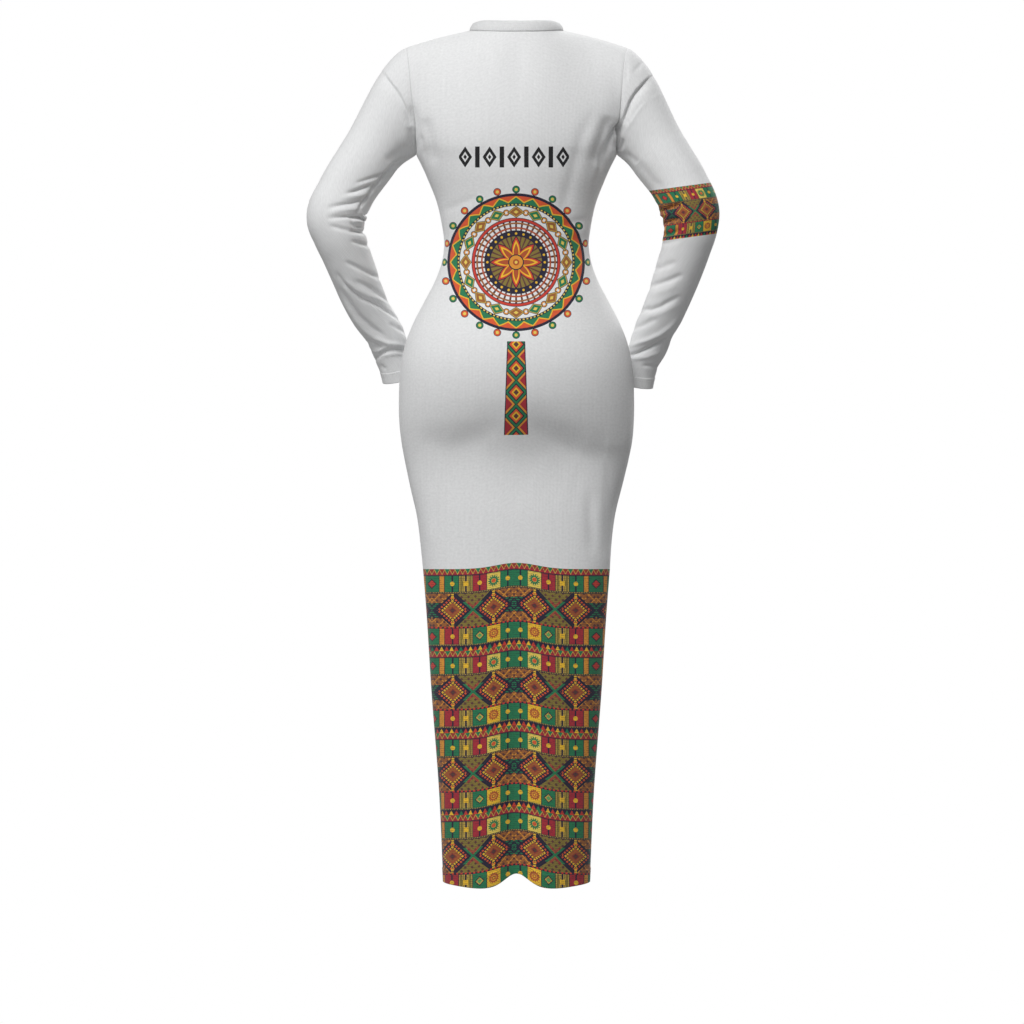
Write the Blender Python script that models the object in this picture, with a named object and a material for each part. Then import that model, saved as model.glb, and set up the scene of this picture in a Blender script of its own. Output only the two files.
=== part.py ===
"""A long-sleeved bodycon maxi dress, standing hollow as it is worn, in metres with +Z up.

The origin is midway between the two neck points of the shoulder seams, where the wearer's shoulders hold the dress.
The front faces -Y. The wearer's left is +X.
Each cloth piece is a wall: a grid of outer points lofted through the garment's sections, and the same grid moved
inwards by the cloth's thickness. A loft between unlike sections has no primitive, so cloth_solid builds its faces.
"""

import math
from collections import namedtuple

import bmesh
import bpy
import numpy as np

# Cloth
WALL = 0.0015
TURN_UP = 0.0012
SEAM_GAP = 0.0003
SPLIT_DIRECTION = (0.37, 0.61, 0.70)

# Body
HEM_HEIGHT = -1.359
HEM_TURN = 0.022
UNDERARM_HEIGHT = -0.199
SIDE_COLUMNS = 12
COLUMN_CROWDING = 1.15
ARMHOLE_ROWS = 10

# Neck and shoulders
NECK_HALF_WIDTH = 0.075
NECK_COLUMNS = 5
NECK_BACK_DEPTH = 0.058
NECK_FRONT_DEPTH = 0.060
NECK_BACK_DROP = 0.012
NECK_FRONT_DROP = 0.075
NECK_EASE = 0.35
SHOULDER_HALF_WIDTH = 0.178
SHOULDER_DROP = 0.027
SHOULDER_CURVE = 1.25
BAND_HEIGHT = 0.018
BAND_LEAN = 0.006
BAND_PROUD = 0.0005
BAND_WALL = 0.0024

# Sleeves
CAP_RINGS = 9
CAP_START = np.array((0.85, 0.0, -0.50))
CAP_PULL = 0.055
CUFF_TURN = 0.018

# One row for each level of the body. Depths run from the side seam to the centre back and the centre front,
# and squareness is the exponent of the section's superellipse, 2 for a plain ellipse.
Section = namedtuple("Section", "height half_width back front squareness")
SECTIONS = (
    Section(-1.359, 0.1173, 0.073, 0.070, 2.30),
    Section(-1.215, 0.1240, 0.0755, 0.074, 2.30),
    Section(-1.057, 0.1360, 0.078, 0.084, 2.25),
    Section(-0.905, 0.1460, 0.078, 0.094, 2.20),
    Section(-0.842, 0.1515, 0.078, 0.099, 2.20),
    Section(-0.779, 0.1596, 0.080, 0.104, 2.20),
    Section(-0.716, 0.1746, 0.0855, 0.109, 2.20),
    Section(-0.684, 0.1810, 0.092, 0.1103, 2.20),
    Section(-0.652, 0.1857, 0.1025, 0.111, 2.20),
    Section(-0.620, 0.1878, 0.115, 0.1117, 2.20),
    Section(-0.589, 0.1880, 0.1255, 0.112, 2.20),
    Section(-0.526, 0.1833, 0.130, 0.111, 2.20),
    Section(-0.494, 0.1755, 0.1225, 0.108, 2.15),
    Section(-0.463, 0.1627, 0.1105, 0.103, 2.10),
    Section(-0.431, 0.1460, 0.097, 0.097, 2.10),
    Section(-0.400, 0.1300, 0.0865, 0.092, 2.10),
    Section(-0.368, 0.1190, 0.080, 0.088, 2.10),
    Section(-0.344, 0.1158, 0.078, 0.087, 2.10),
    Section(-0.305, 0.1205, 0.082, 0.094, 2.10),
    Section(-0.273, 0.1280, 0.088, 0.104, 2.10),
    Section(-0.242, 0.1400, 0.094, 0.114, 2.15),
    Section(-0.210, 0.1545, 0.098, 0.119, 2.20),
    Section(-0.199, 0.1605, 0.100, 0.120, 2.20),
)

# How far the sampled levels of the body stand above the hem's edge, up to the underarm.
LOWER_LEVELS = (
    0.0, 0.021, 0.0225, 0.055, 0.10, 0.15, 0.21, 0.28, 0.35, 0.41, 0.46, 0.51, 0.56,
    0.61, 0.66, 0.71, 0.76, 0.80, 0.835, 0.865, 0.895, 0.925, 0.955, 0.985, 1.015,
    1.05, 1.085, 1.12, HEM_HEIGHT * -1 + UNDERARM_HEIGHT,
)

# The long hollow between the legs at the centre back and front, and how the hem's edge rises and dips there.
Hollow = namedtuple("Hollow", "depth top half_width hem_rise rise_half_width hem_dip dip_at dip_half_width")
BACK_HOLLOW = Hollow(0.020, 0.60, 0.030, 0.0193, 0.025, 0.0028, 0.060, 0.036)
FRONT_HOLLOW = Hollow(0.012, 0.50, 0.034, 0.0120, 0.030, 0.0025, 0.060, 0.036)
HEM_WAVE_HEIGHT = 0.09

# How each panel's columns leave the underarm level and arrive at the upper edge, as x, y and z from the column's
# own end. They leave along the body's own slope at the centre, for this rise, and along arm_leave at the armhole.
# They arrive by the centre of the neckline, the neck point and the shoulder's tip.
Rise = namedtuple("Rise", "slope_rise arm_leave centre_arrive neck_arrive arm_arrive")
BACK_RISE = Rise(0.060, (0.002, 0.072, 0.016), (0.0, 0.024, -0.050), (0.034, 0.046, -0.016), (-0.010, 0.064, -0.008))
FRONT_RISE = Rise(0.045, (-0.006, -0.070, 0.012), (0.0, -0.026, -0.034), (0.030, -0.040, -0.018), (-0.016, -0.066, -0.008))
SLOPE_SHARE = 0.6
LEAVE_FADE = 3.0

# One row for each level of a sleeve: the arm's axis, then half the sleeve's width across the arm as seen from
# behind, and half its depth from front to back.
Station = namedtuple("Station", "x y z wide deep")
LEFT_STATIONS = (
    Station(0.2354, 0.008, -0.2022, 0.0480, 0.0475),
    Station(0.2718, 0.020, -0.2615, 0.0455, 0.0450),
    Station(0.2876, 0.026, -0.3050, 0.0458, 0.0440),
    Station(0.2820, 0.023, -0.3286, 0.0420, 0.0425),
    Station(0.2726, 0.014, -0.3555, 0.0387, 0.0400),
    Station(0.2607, 0.000, -0.3870, 0.0370, 0.0380),
    Station(0.2498, -0.016, -0.4163, 0.0355, 0.0360),
    Station(0.2350, -0.034, -0.4480, 0.0335, 0.0340),
    Station(0.2160, -0.051, -0.4770, 0.0318, 0.0325),
    Station(0.2085, -0.059, -0.4945, 0.0308, 0.0315),
    Station(0.2055, -0.064, -0.5103, 0.0276, 0.0290),
    Station(0.1966, -0.071, -0.5356, 0.0262, 0.0275),
    Station(0.1926, -0.0755, -0.5535, 0.0256, 0.0271),
)
RIGHT_STATIONS = (
    Station(-0.2300, 0.008, -0.2022, 0.0485, 0.0475),
    Station(-0.2600, 0.018, -0.2500, 0.0455, 0.0455),
    Station(-0.2765, 0.026, -0.2990, 0.0460, 0.0440),
    Station(-0.2760, 0.024, -0.3200, 0.0430, 0.0430),
    Station(-0.2706, 0.017, -0.3468, 0.0395, 0.0405),
    Station(-0.2556, -0.002, -0.3950, 0.0368, 0.0380),
    Station(-0.2400, -0.022, -0.4380, 0.0340, 0.0350),
    Station(-0.2215, -0.044, -0.4790, 0.0318, 0.0328),
    Station(-0.2140, -0.054, -0.5010, 0.0308, 0.0315),
    Station(-0.2060, -0.061, -0.5200, 0.0280, 0.0290),
    Station(-0.1990, -0.070, -0.5480, 0.0265, 0.0275),
    Station(-0.1966, -0.0736, -0.5630, 0.0260, 0.0272),
)

# Distances along the sleeve from its first station to each ring below the cap, as shares of the whole.
TUBE_LEVELS = (
    0.08, 0.14, 0.19, 0.235, 0.265, 0.295, 0.325, 0.36, 0.40, 0.44, 0.48, 0.52, 0.56,
    0.60, 0.64, 0.68, 0.72, 0.755, 0.785, 0.81, 0.84, 0.88, 0.925, 0.955, 0.96, 1.0,
)

# The largest folds, each a trough along a line seen from behind (facing 1) or from the front (facing -1): the
# pieces it runs on, the line's ends, then its depth and half its width in metres. A depth below 0 is a ridge.
Fold = namedtuple("Fold", "pieces facing from_x from_z to_x to_z depth half_width")
FOLDS = (
    Fold("all", 1, 0.167, -0.158, 0.234, -0.078, 0.0050, 0.0100),
    Fold("sleeve", 1, 0.180, -0.203, 0.241, -0.275, 0.0040, 0.0070),
    Fold("sleeve", 1, 0.195, -0.188, 0.258, -0.262, 0.0030, 0.0070),
    Fold("sleeve", 1, 0.236, -0.290, 0.272, -0.322, 0.0055, 0.0100),
    Fold("sleeve", 1, 0.242, -0.314, 0.266, -0.346, 0.0040, 0.0070),
    Fold("sleeve", 1, 0.271, -0.363, 0.222, -0.386, 0.0030, 0.0090),
    Fold("sleeve", 1, 0.281, -0.400, 0.212, -0.416, 0.0035, 0.0090),
    Fold("sleeve", 1, 0.276, -0.426, 0.189, -0.461, 0.0040, 0.0090),
    Fold("sleeve", 1, 0.255, -0.502, 0.178, -0.509, 0.0045, 0.0070),
    Fold("all", 1, -0.167, -0.158, -0.214, -0.070, 0.0075, 0.0110),
    Fold("sleeve", 1, -0.182, -0.203, -0.224, -0.270, 0.0035, 0.0080),
    Fold("sleeve", 1, -0.231, -0.278, -0.264, -0.304, 0.0055, 0.0100),
    Fold("sleeve", 1, -0.234, -0.322, -0.270, -0.342, 0.0045, 0.0070),
    Fold("sleeve", 1, -0.257, -0.417, -0.197, -0.451, 0.0040, 0.0090),
    Fold("sleeve", 1, -0.240, -0.476, -0.188, -0.504, 0.0040, 0.0080),
    Fold("sleeve", 1, -0.238, -0.518, -0.183, -0.516, 0.0035, 0.0070),
    Fold("all", -1, 0.164, -0.160, 0.226, -0.088, 0.0055, 0.0110),
    Fold("sleeve", -1, 0.185, -0.206, 0.236, -0.268, 0.0035, 0.0080),
    Fold("sleeve", -1, 0.236, -0.296, 0.276, -0.310, 0.0055, 0.0100),
    Fold("sleeve", -1, 0.243, -0.330, 0.272, -0.352, 0.0045, 0.0080),
    Fold("sleeve", -1, 0.276, -0.392, 0.218, -0.408, 0.0035, 0.0090),
    Fold("sleeve", -1, 0.262, -0.446, 0.196, -0.466, 0.0040, 0.0090),
    Fold("all", -1, -0.164, -0.160, -0.222, -0.082, 0.0055, 0.0110),
    Fold("sleeve", -1, -0.184, -0.206, -0.228, -0.262, 0.0035, 0.0080),
    Fold("sleeve", -1, -0.231, -0.286, -0.270, -0.300, 0.0055, 0.0100),
    Fold("sleeve", -1, -0.236, -0.326, -0.266, -0.350, 0.0045, 0.0080),
    Fold("sleeve", -1, -0.264, -0.402, -0.206, -0.430, 0.0035, 0.0090),
    Fold("sleeve", -1, -0.246, -0.462, -0.194, -0.486, 0.0040, 0.0090),
    Fold("body", 1, -0.140, -0.100, -0.152, -0.190, 0.0030, 0.0100),
    Fold("body", 1, 0.144, -0.112, 0.152, -0.188, 0.0025, 0.0100),
    Fold("body", 1, -0.064, -0.330, -0.106, -0.305, 0.0030, 0.0100),
    Fold("body", 1, 0.122, -0.636, 0.044, -0.660, 0.0030, 0.0220),
    Fold("body", 1, -0.046, -0.660, -0.122, -0.640, 0.0030, 0.0220),
    Fold("body", 1, -0.112, -0.770, -0.120, -0.872, 0.0030, 0.0110),
    Fold("body", -1, 0.138, -0.104, 0.150, -0.188, 0.0030, 0.0110),
    Fold("body", -1, -0.138, -0.100, -0.150, -0.186, 0.0030, 0.0110),
    Fold("body", -1, 0.060, -0.332, 0.104, -0.312, 0.0030, 0.0110),
    Fold("body", -1, -0.052, -0.640, -0.120, -0.606, 0.0030, 0.0200),
    Fold("body", -1, 0.048, -0.648, 0.124, -0.618, 0.0030, 0.0200),
    Fold("body", -1, 0.100, -0.800, 0.108, -0.900, 0.0030, 0.0120),
)
FOLD_TAPER = 3.0

WHITE_CLOTH = (0.80, 0.80, 0.79, 1.0)
RIB_CLOTH = (0.78, 0.78, 0.77, 1.0)
CLOTH_ROUGHNESS = 0.85


def curve_value(places, values, place):
    """A smooth curve through values at rising places, read at place: a cubic with the neighbours' mean slopes."""
    places = np.asarray(places, float)
    values = np.asarray(values, float)
    slopes = np.gradient(values, places, axis=0)
    i = int(np.clip(np.searchsorted(places, place) - 1, 0, len(places) - 2))
    step = places[i + 1] - places[i]
    t = (place - places[i]) / step
    start, end = values[i], values[i + 1]
    leave, arrive = slopes[i] * step, slopes[i + 1] * step
    return (
        start * (2 * t**3 - 3 * t**2 + 1)
        + leave * (t**3 - 2 * t**2 + t)
        + end * (3 * t**2 - 2 * t**3)
        + arrive * (t**3 - t**2)
    )


def bezier(start, leave, arrive, end, t):
    """A point of the cubic whose middle control points are start + leave and end + arrive."""
    start, end = np.asarray(start, float), np.asarray(end, float)
    first, second = start + np.asarray(leave), end + np.asarray(arrive)
    return (1 - t) ** 3 * start + 3 * (1 - t) ** 2 * t * first + 3 * (1 - t) * t**2 * second + t**3 * end


def bell(distance, half_width):
    """1 in the middle, and falling smoothly to nothing over about twice the half width."""
    return math.exp(-((distance / half_width) ** 2))


def smoothstep(t):
    """0 up to 0 and 1 from 1, with a smooth rise between."""
    t = min(max(t, 0.0), 1.0)
    return t * t * (3 - 2 * t)


def ring_point(height, share, facing):
    """A point of the body's section: share runs from -1 at the right side seam to 1 at the left one."""
    levels = [section.height for section in SECTIONS]
    sizes = [section[1:] for section in SECTIONS]
    half_width, back, front, squareness = curve_value(levels, sizes, height)
    angle = math.radians(90) * share
    power = 2 / squareness
    x = half_width * math.copysign(abs(math.sin(angle)) ** power, share)
    depth = back if facing > 0 else front
    return np.array((x, facing * depth * abs(math.cos(angle)) ** power, height))


def hollow_of(facing):
    """The centre hollow of the back or the front."""
    return BACK_HOLLOW if facing > 0 else FRONT_HOLLOW


def skirt_point(above_hem, share, facing):
    """A point of the body below the underarm, with the centre hollow and the hem's wave."""
    point = ring_point(HEM_HEIGHT + above_hem, share, facing)
    hollow = hollow_of(facing)
    depth = hollow.depth * (1 - smoothstep(above_hem / hollow.top))
    point[1] -= facing * depth * bell(point[0], hollow.half_width)
    fade = 1 - smoothstep(above_hem / HEM_WAVE_HEIGHT)
    rise = hollow.hem_rise * bell(point[0], hollow.rise_half_width)
    dip = hollow.hem_dip * bell(abs(point[0]) - hollow.dip_at, hollow.dip_half_width)
    point[2] += fade * (rise - dip) * (1 - share**4)
    return point


def column_shares():
    """Where the panel's columns stand between its side seams, -1 to 1, closer together towards the centre."""
    even = np.linspace(-1, 1, 2 * SIDE_COLUMNS + 1)
    return np.sign(even) * np.abs(even) ** COLUMN_CROWDING


def top_point(share, facing):
    """A point of the panel's upper edge: the neckline in the middle, and the shoulder seam on each side."""
    out = abs(share)
    neck_share = (NECK_COLUMNS / SIDE_COLUMNS) ** COLUMN_CROWDING
    if out <= neck_share:
        angle = math.radians(90) * out / neck_share
        x = NECK_HALF_WIDTH * math.sin(angle)
        depth = NECK_BACK_DEPTH if facing > 0 else NECK_FRONT_DEPTH
        drop = NECK_BACK_DROP if facing > 0 else NECK_FRONT_DROP
        y = facing * depth * math.cos(angle)
        z = -drop * math.cos(angle) ** 2 * (1 + NECK_EASE) / (math.cos(angle) + NECK_EASE)
    else:
        along = (out - neck_share) / (1 - neck_share)
        x = NECK_HALF_WIDTH + (SHOULDER_HALF_WIDTH - NECK_HALF_WIDTH) * along
        y = 0.0
        z = -SHOULDER_DROP * along**SHOULDER_CURVE
    return np.array((math.copysign(x, share), y, z))


def yoke_point(t, share, facing):
    """A point of the panel above the underarm, from that level at t = 0 to the shoulder or neckline at t = 1."""
    rise = BACK_RISE if facing > 0 else FRONT_RISE
    out = abs(share)
    mirror = np.array((math.copysign(1.0, share), 1.0, 1.0))
    start = ring_point(UNDERARM_HEIGHT, share, facing)
    below = ring_point(UNDERARM_HEIGHT - 0.005, share, facing)
    slope = (start - below) / 0.005 * (SLOPE_SHARE, SLOPE_SHARE, 1.0)
    towards_arm = out**LEAVE_FADE
    leave = slope * rise.slope_rise * (1 - towards_arm) + rise.arm_leave * mirror * towards_arm
    neck_share = (NECK_COLUMNS / SIDE_COLUMNS) ** COLUMN_CROWDING
    arrivals = np.array((rise.centre_arrive, rise.neck_arrive, rise.arm_arrive))
    arrive = np.array([np.interp(out, (0, neck_share, 1), values) for values in arrivals.T])
    return bezier(start, leave, arrive * mirror, top_point(share, facing), t)


def panel_grid(facing):
    """The outer points of the back (facing 1) or front (facing -1) panel, hem row first, right side first."""
    shares = column_shares()
    lower = [[skirt_point(level, share, facing) for share in shares] for level in LOWER_LEVELS]
    heights = np.linspace(0, 1, ARMHOLE_ROWS + 1)[1:]
    upper = [[yoke_point(t, share, facing) for share in shares] for t in heights]
    return np.array(lower + upper)


def armhole_loop(back, front, column):
    """The armhole's points, from the underarm up the back to the shoulder and down the front."""
    first = len(LOWER_LEVELS) - 1
    up_the_back = back[first:, column]
    down_the_front = front[first + 1 : -1, column][::-1]
    return np.concatenate((up_the_back, down_the_front))


def axis_of(stations):
    """The sleeve's axis as shares of its length, its centres and its half sizes."""
    centres = np.array([station[:3] for station in stations])
    sizes = np.array([station[3:] for station in stations])
    steps = np.linalg.norm(np.diff(centres, axis=0), axis=1)
    lengths = np.concatenate(((0.0,), np.cumsum(steps)))
    return lengths / lengths[-1], centres, sizes, lengths[-1]


def sleeve_ring(stations, share, count):
    """One ring of the sleeve's tube, from its inner side by way of the back, and the axis direction there."""
    shares, centres, sizes, _ = axis_of(stations)
    centre = curve_value(shares, centres, share)
    wide, deep = curve_value(shares, sizes, share)
    nudge = 0.01
    ahead = curve_value(shares, centres, min(share + nudge, 1.0))
    behind = curve_value(shares, centres, max(share - nudge, 0.0))
    tangent = (ahead - behind) / np.linalg.norm(ahead - behind)
    side = math.copysign(1.0, stations[0].x)
    outward = side * np.cross(tangent, (0.0, 1.0, 0.0))
    outward /= np.linalg.norm(outward)
    backward = side * np.cross(outward, tangent)
    turns = np.radians(np.arange(count) * 360 / count)[:, None]
    return centre + backward * deep * np.sin(turns) - outward * wide * np.cos(turns), tangent


def sleeve_grid(stations, armhole):
    """The outer points of a sleeve, armhole ring first. The cap is a smooth curve from each armhole point."""
    count = len(armhole)
    first_ring, tangent = sleeve_ring(stations, 0.0, count)
    side = np.array((math.copysign(1.0, stations[0].x), 1.0, 1.0))
    start_direction = CAP_START * side / np.linalg.norm(CAP_START)
    rings = []
    for t in np.linspace(0, 1, CAP_RINGS):
        ring = []
        for start, end in zip(armhole, first_ring):
            pull = min(CAP_PULL, np.linalg.norm(end - start) / 3)
            ring.append(bezier(start, start_direction * pull, -tangent * pull, end, t))
        rings.append(ring)
    rings += [sleeve_ring(stations, share, count)[0] for share in TUBE_LEVELS]
    return np.array(rings)


def band_grid(neckline):
    """The outer points of the neck band, from the neckline up to its folded edge."""
    out = neckline * (1.0, 1.0, 0.0)
    out /= np.linalg.norm(out, axis=1)[:, None]
    levels = np.linspace(0, 1, 4)
    rows = [neckline - out * BAND_LEAN * level**2 + np.array((0, 0, BAND_HEIGHT)) * level for level in levels]
    return np.array(rows)


def grid_normals(grid, closed, flip):
    """The outward normals of a grid's points, from the directions of its rows and columns."""
    if closed:
        across = np.roll(grid, -1, axis=1) - np.roll(grid, 1, axis=1)
    else:
        across = np.gradient(grid, axis=1)
    along = np.gradient(grid, axis=0)
    normals = np.cross(across, along) * flip
    return normals / np.linalg.norm(normals, axis=2)[:, :, None]


def fold_depth(point, normal, kind):
    """How far the folds pull the cloth in at a point, by its distance from each fold's line in the view plane."""
    depth = 0.0
    place = point[[0, 2]]
    for fold in FOLDS:
        facing = smoothstep(fold.facing * normal[1] / 0.4)
        if facing == 0.0 or fold.pieces not in ("all", kind):
            continue
        start = np.array((fold.from_x, fold.from_z))
        line = np.array((fold.to_x, fold.to_z)) - start
        along = min(max(np.dot(place - start, line) / np.dot(line, line), 0.0), 1.0)
        taper = 1 - 0.5 * abs(2 * along - 1) ** FOLD_TAPER
        depth += facing * fold.depth * taper * bell(np.linalg.norm(place - start - line * along), fold.half_width)
    return depth


def fold_cloth(grids, normals):
    """Moves every grid's points along their normals by the folds that cross them."""
    for name, grid in grids.items():
        kind = "sleeve" if "sleeve" in name else "body"
        for i, row in enumerate(grid):
            for j, point in enumerate(row):
                grid[i, j] = point - normals[name][i, j] * fold_depth(point, normals[name][i, j], kind)


def share_seam_normals(grids, normals):
    """Gives points where pieces meet one common normal, so that their walls meet in a mitre."""
    sums = {}
    for name, grid in grids.items():
        for point, normal in zip(grid.reshape(-1, 3), normals[name].reshape(-1, 3)):
            key = tuple(np.round(point, 6))
            sums[key] = sums.get(key, 0) + normal
    for name, grid in grids.items():
        flat = normals[name].reshape(-1, 3)
        for i, point in enumerate(grid.reshape(-1, 3)):
            total = sums[tuple(np.round(point, 6))]
            flat[i] = total / np.linalg.norm(total)


def seam_shift(points, normals, inside, closed):
    """Half the seam's gap for each point of an edge, in the cloth's plane and away from the seam."""
    if closed:
        along = np.roll(points, -1, axis=0) - np.roll(points, 1, axis=0)
    else:
        along = np.gradient(points, axis=0)
    away = np.cross(along, normals)
    away /= np.linalg.norm(away, axis=1)[:, None]
    sign = math.copysign(1.0, np.sum(away * (inside - points)))
    return away * sign * SEAM_GAP / 2


def panel_shift(grid, normals):
    """The seam gaps of a body panel: its side seams, armholes, shoulders and neckline."""
    shift = np.zeros_like(grid)
    underarm = len(LOWER_LEVELS) - 1
    for column, inner in ((0, 1), (-1, -2)):
        for rows in (slice(0, underarm + 1), slice(underarm, None)):
            edge, inside = grid[rows, column], grid[rows, inner]
            shift[rows, column] += seam_shift(edge, normals[rows, column], inside, False)
    left_neck, right_neck = SIDE_COLUMNS - NECK_COLUMNS, SIDE_COLUMNS + NECK_COLUMNS
    for columns in (slice(0, left_neck + 1), slice(left_neck, right_neck + 1), slice(right_neck, None)):
        edge, inside = grid[-1, columns], grid[-2, columns]
        shift[-1, columns] += seam_shift(edge, normals[-1, columns], inside, False)
    return shift


def ring_shift(grid, normals):
    """The seam gap of a tube's first ring."""
    shift = np.zeros_like(grid)
    shift[0] = seam_shift(grid[0], normals[0], grid[1], True)
    return shift


def edge_strip(mesh, outside, inside, inwards):
    """The wall's face along one edge. Its quads are split by their places, so that both sides of a seam match."""
    for j in range(len(outside) - 1):
        a, b, c, d = outside[j], outside[j + 1], inside[j + 1], inside[j]
        if np.dot(a.co, SPLIT_DIRECTION) > np.dot(b.co, SPLIT_DIRECTION):
            halves = ((a, b, c), (a, c, d))
        else:
            halves = ((a, b, d), (b, c, d))
        for half in halves:
            mesh.faces.new(half if inwards else half[::-1])


def cloth_solid(name, outer, inner, closed, material):
    """One closed wall from two matching grids of points. closed joins the last column to the first."""
    rows, columns = outer.shape[:2]
    mesh = bmesh.new()
    outside = [[mesh.verts.new(point) for point in row] for row in outer]
    inside = [[mesh.verts.new(point) for point in row] for row in inner]
    wrap = columns if closed else columns - 1
    for i in range(rows - 1):
        for j in range(wrap):
            k = (j + 1) % columns
            mesh.faces.new((outside[i][j], outside[i][k], outside[i + 1][k], outside[i + 1][j]))
            mesh.faces.new((inside[i][j], inside[i + 1][j], inside[i + 1][k], inside[i][k]))
    for row, inwards in ((0, False), (-1, True)):
        ends = slice(None), [0] if closed else []
        outside_edge = [outside[row][j] for end in ends for j in np.arange(columns)[end]]
        inside_edge = [inside[row][j] for end in ends for j in np.arange(columns)[end]]
        edge_strip(mesh, outside_edge, inside_edge, inwards)
    if not closed:
        for column, inwards in ((0, True), (-1, False)):
            outside_edge = [row[column] for row in outside]
            inside_edge = [row[column] for row in inside]
            edge_strip(mesh, outside_edge, inside_edge, inwards)
    bmesh.ops.recalc_face_normals(mesh, faces=mesh.faces)
    data = bpy.data.meshes.new(name)
    mesh.to_mesh(data)
    mesh.free()
    data.shade_smooth()
    data.set_sharp_from_angle(angle=math.radians(50))
    data.materials.append(material)
    piece = bpy.data.objects.new(name, data)
    bpy.data.collections["dress"].objects.link(piece)
    return piece


def cloth_material(name, colour):
    """A matt knitted cloth."""
    material = bpy.data.materials.new(name)
    material.use_nodes = True
    shader = material.node_tree.nodes["Principled BSDF"]
    shader.inputs["Base Color"].default_value = colour
    shader.inputs["Roughness"].default_value = CLOTH_ROUGHNESS
    shader.inputs["Metallic"].default_value = 0.0
    return material


def panel_walls(grid):
    """The wall's thickness at each point of a body panel: doubled where the hem is turned up."""
    walls = np.full(grid.shape[:2], WALL)
    turned = [i for i, level in enumerate(LOWER_LEVELS) if level < HEM_TURN]
    walls[turned] += TURN_UP
    return walls


def sleeve_walls(grid, stations):
    """The wall's thickness at each point of a sleeve: doubled where the wrist is turned up."""
    length = axis_of(stations)[3]
    walls = np.full(grid.shape[:2], WALL)
    turned = [CAP_RINGS + i for i, share in enumerate(TUBE_LEVELS) if (1 - share) * length < CUFF_TURN]
    walls[turned] += TURN_UP
    return walls


def build_dress():
    """Builds the five cloth pieces of the dress."""
    back, front = panel_grid(1), panel_grid(-1)
    grids = {
        "back_panel": back,
        "front_panel": front,
        "left_sleeve": sleeve_grid(LEFT_STATIONS, armhole_loop(back, front, -1)),
        "right_sleeve": sleeve_grid(RIGHT_STATIONS, armhole_loop(back, front, 0)),
    }
    middle = slice(SIDE_COLUMNS - NECK_COLUMNS, SIDE_COLUMNS + NECK_COLUMNS + 1)
    neckline = np.concatenate((back[-1, middle], front[-1, middle][::-1][1:-1]))
    grids["neck_band"] = band_grid(neckline)

    closed = {name: name in ("left_sleeve", "right_sleeve", "neck_band") for name in grids}
    flips = {"back_panel": -1, "front_panel": 1, "left_sleeve": 1, "right_sleeve": -1, "neck_band": -1}
    for stage in ("smooth", "folded"):
        normals = {name: grid_normals(grid, closed[name], flips[name]) for name, grid in grids.items()}
        share_seam_normals(grids, normals)
        if stage == "smooth":
            fold_cloth(grids, normals)

    walls = {name: panel_walls(grids[name]) for name in ("back_panel", "front_panel")}
    walls["left_sleeve"] = sleeve_walls(grids["left_sleeve"], LEFT_STATIONS)
    walls["right_sleeve"] = sleeve_walls(grids["right_sleeve"], RIGHT_STATIONS)
    walls["neck_band"] = np.full(grids["neck_band"].shape[:2], BAND_WALL)

    for name, grid in grids.items():
        shift = ring_shift(grid, normals[name]) if closed[name] else panel_shift(grid, normals[name])
        proud = BAND_PROUD if name == "neck_band" else 0.0
        outer = grid + shift + normals[name] * proud
        inner = outer - normals[name] * walls[name][:, :, None]
        colour = RIB_CLOTH if name == "neck_band" else WHITE_CLOTH
        cloth_solid(name, outer, inner, closed[name], cloth_material(name + "_cloth", colour))


for old in list(bpy.data.objects):
    bpy.data.objects.remove(old)
bpy.context.scene.collection.children.link(bpy.data.collections.new("dress"))
build_dress()
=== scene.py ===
"""The looks of the long-sleeved bodycon maxi dress: thin cloth on the solid's form, with folds and prints.

The dress stands hollow in the form that it has when worn, in metres with +Z up. The front faces -Y, and the
camera looks at the back, as in the photograph. The dress's own left is +X.
"""

import logging
import math
from dataclasses import dataclass
from enum import Enum
from typing import NamedTuple, Protocol, Sequence

import bmesh
import bpy
import numpy as np
from mathutils import Matrix, Vector


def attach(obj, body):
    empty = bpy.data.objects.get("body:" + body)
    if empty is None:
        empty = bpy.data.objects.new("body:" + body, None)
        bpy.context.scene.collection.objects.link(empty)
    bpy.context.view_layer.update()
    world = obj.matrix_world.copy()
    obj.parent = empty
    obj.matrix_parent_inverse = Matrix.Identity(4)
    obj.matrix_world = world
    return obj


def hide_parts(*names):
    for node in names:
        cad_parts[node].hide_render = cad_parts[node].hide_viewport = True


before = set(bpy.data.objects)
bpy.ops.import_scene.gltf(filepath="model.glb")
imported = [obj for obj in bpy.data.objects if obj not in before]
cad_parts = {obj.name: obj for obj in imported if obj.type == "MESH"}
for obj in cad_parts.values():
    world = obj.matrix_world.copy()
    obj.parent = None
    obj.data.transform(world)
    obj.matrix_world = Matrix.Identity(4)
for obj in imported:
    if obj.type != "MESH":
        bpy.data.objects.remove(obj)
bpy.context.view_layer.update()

logging.basicConfig(level=logging.INFO, format="%(message)s")
LOG = logging.getLogger("dress")

Colour = tuple[float, float, float]
Grid = np.ndarray


def srgb(red: int, green: int, blue: int) -> Colour:
    """Turns a colour as seen on a screen into the light that it stands for.

    Args:
        red: its red, 0 to 255.
        green: its green, 0 to 255.
        blue: its blue, 0 to 255.

    Returns:
        The linear colour.
    """
    return tuple(((c / 255 + 0.055) / 1.055) ** 2.4 if c > 10 else c / 3294.6 for c in (red, green, blue))


class Side(Enum):
    """The two body panels, by which way they face along Y."""

    BACK = 1
    FRONT = -1


class Hand(Enum):
    """The two sleeves, by the side of the dress that they are on along X."""

    LEFT = 1
    RIGHT = -1


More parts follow.
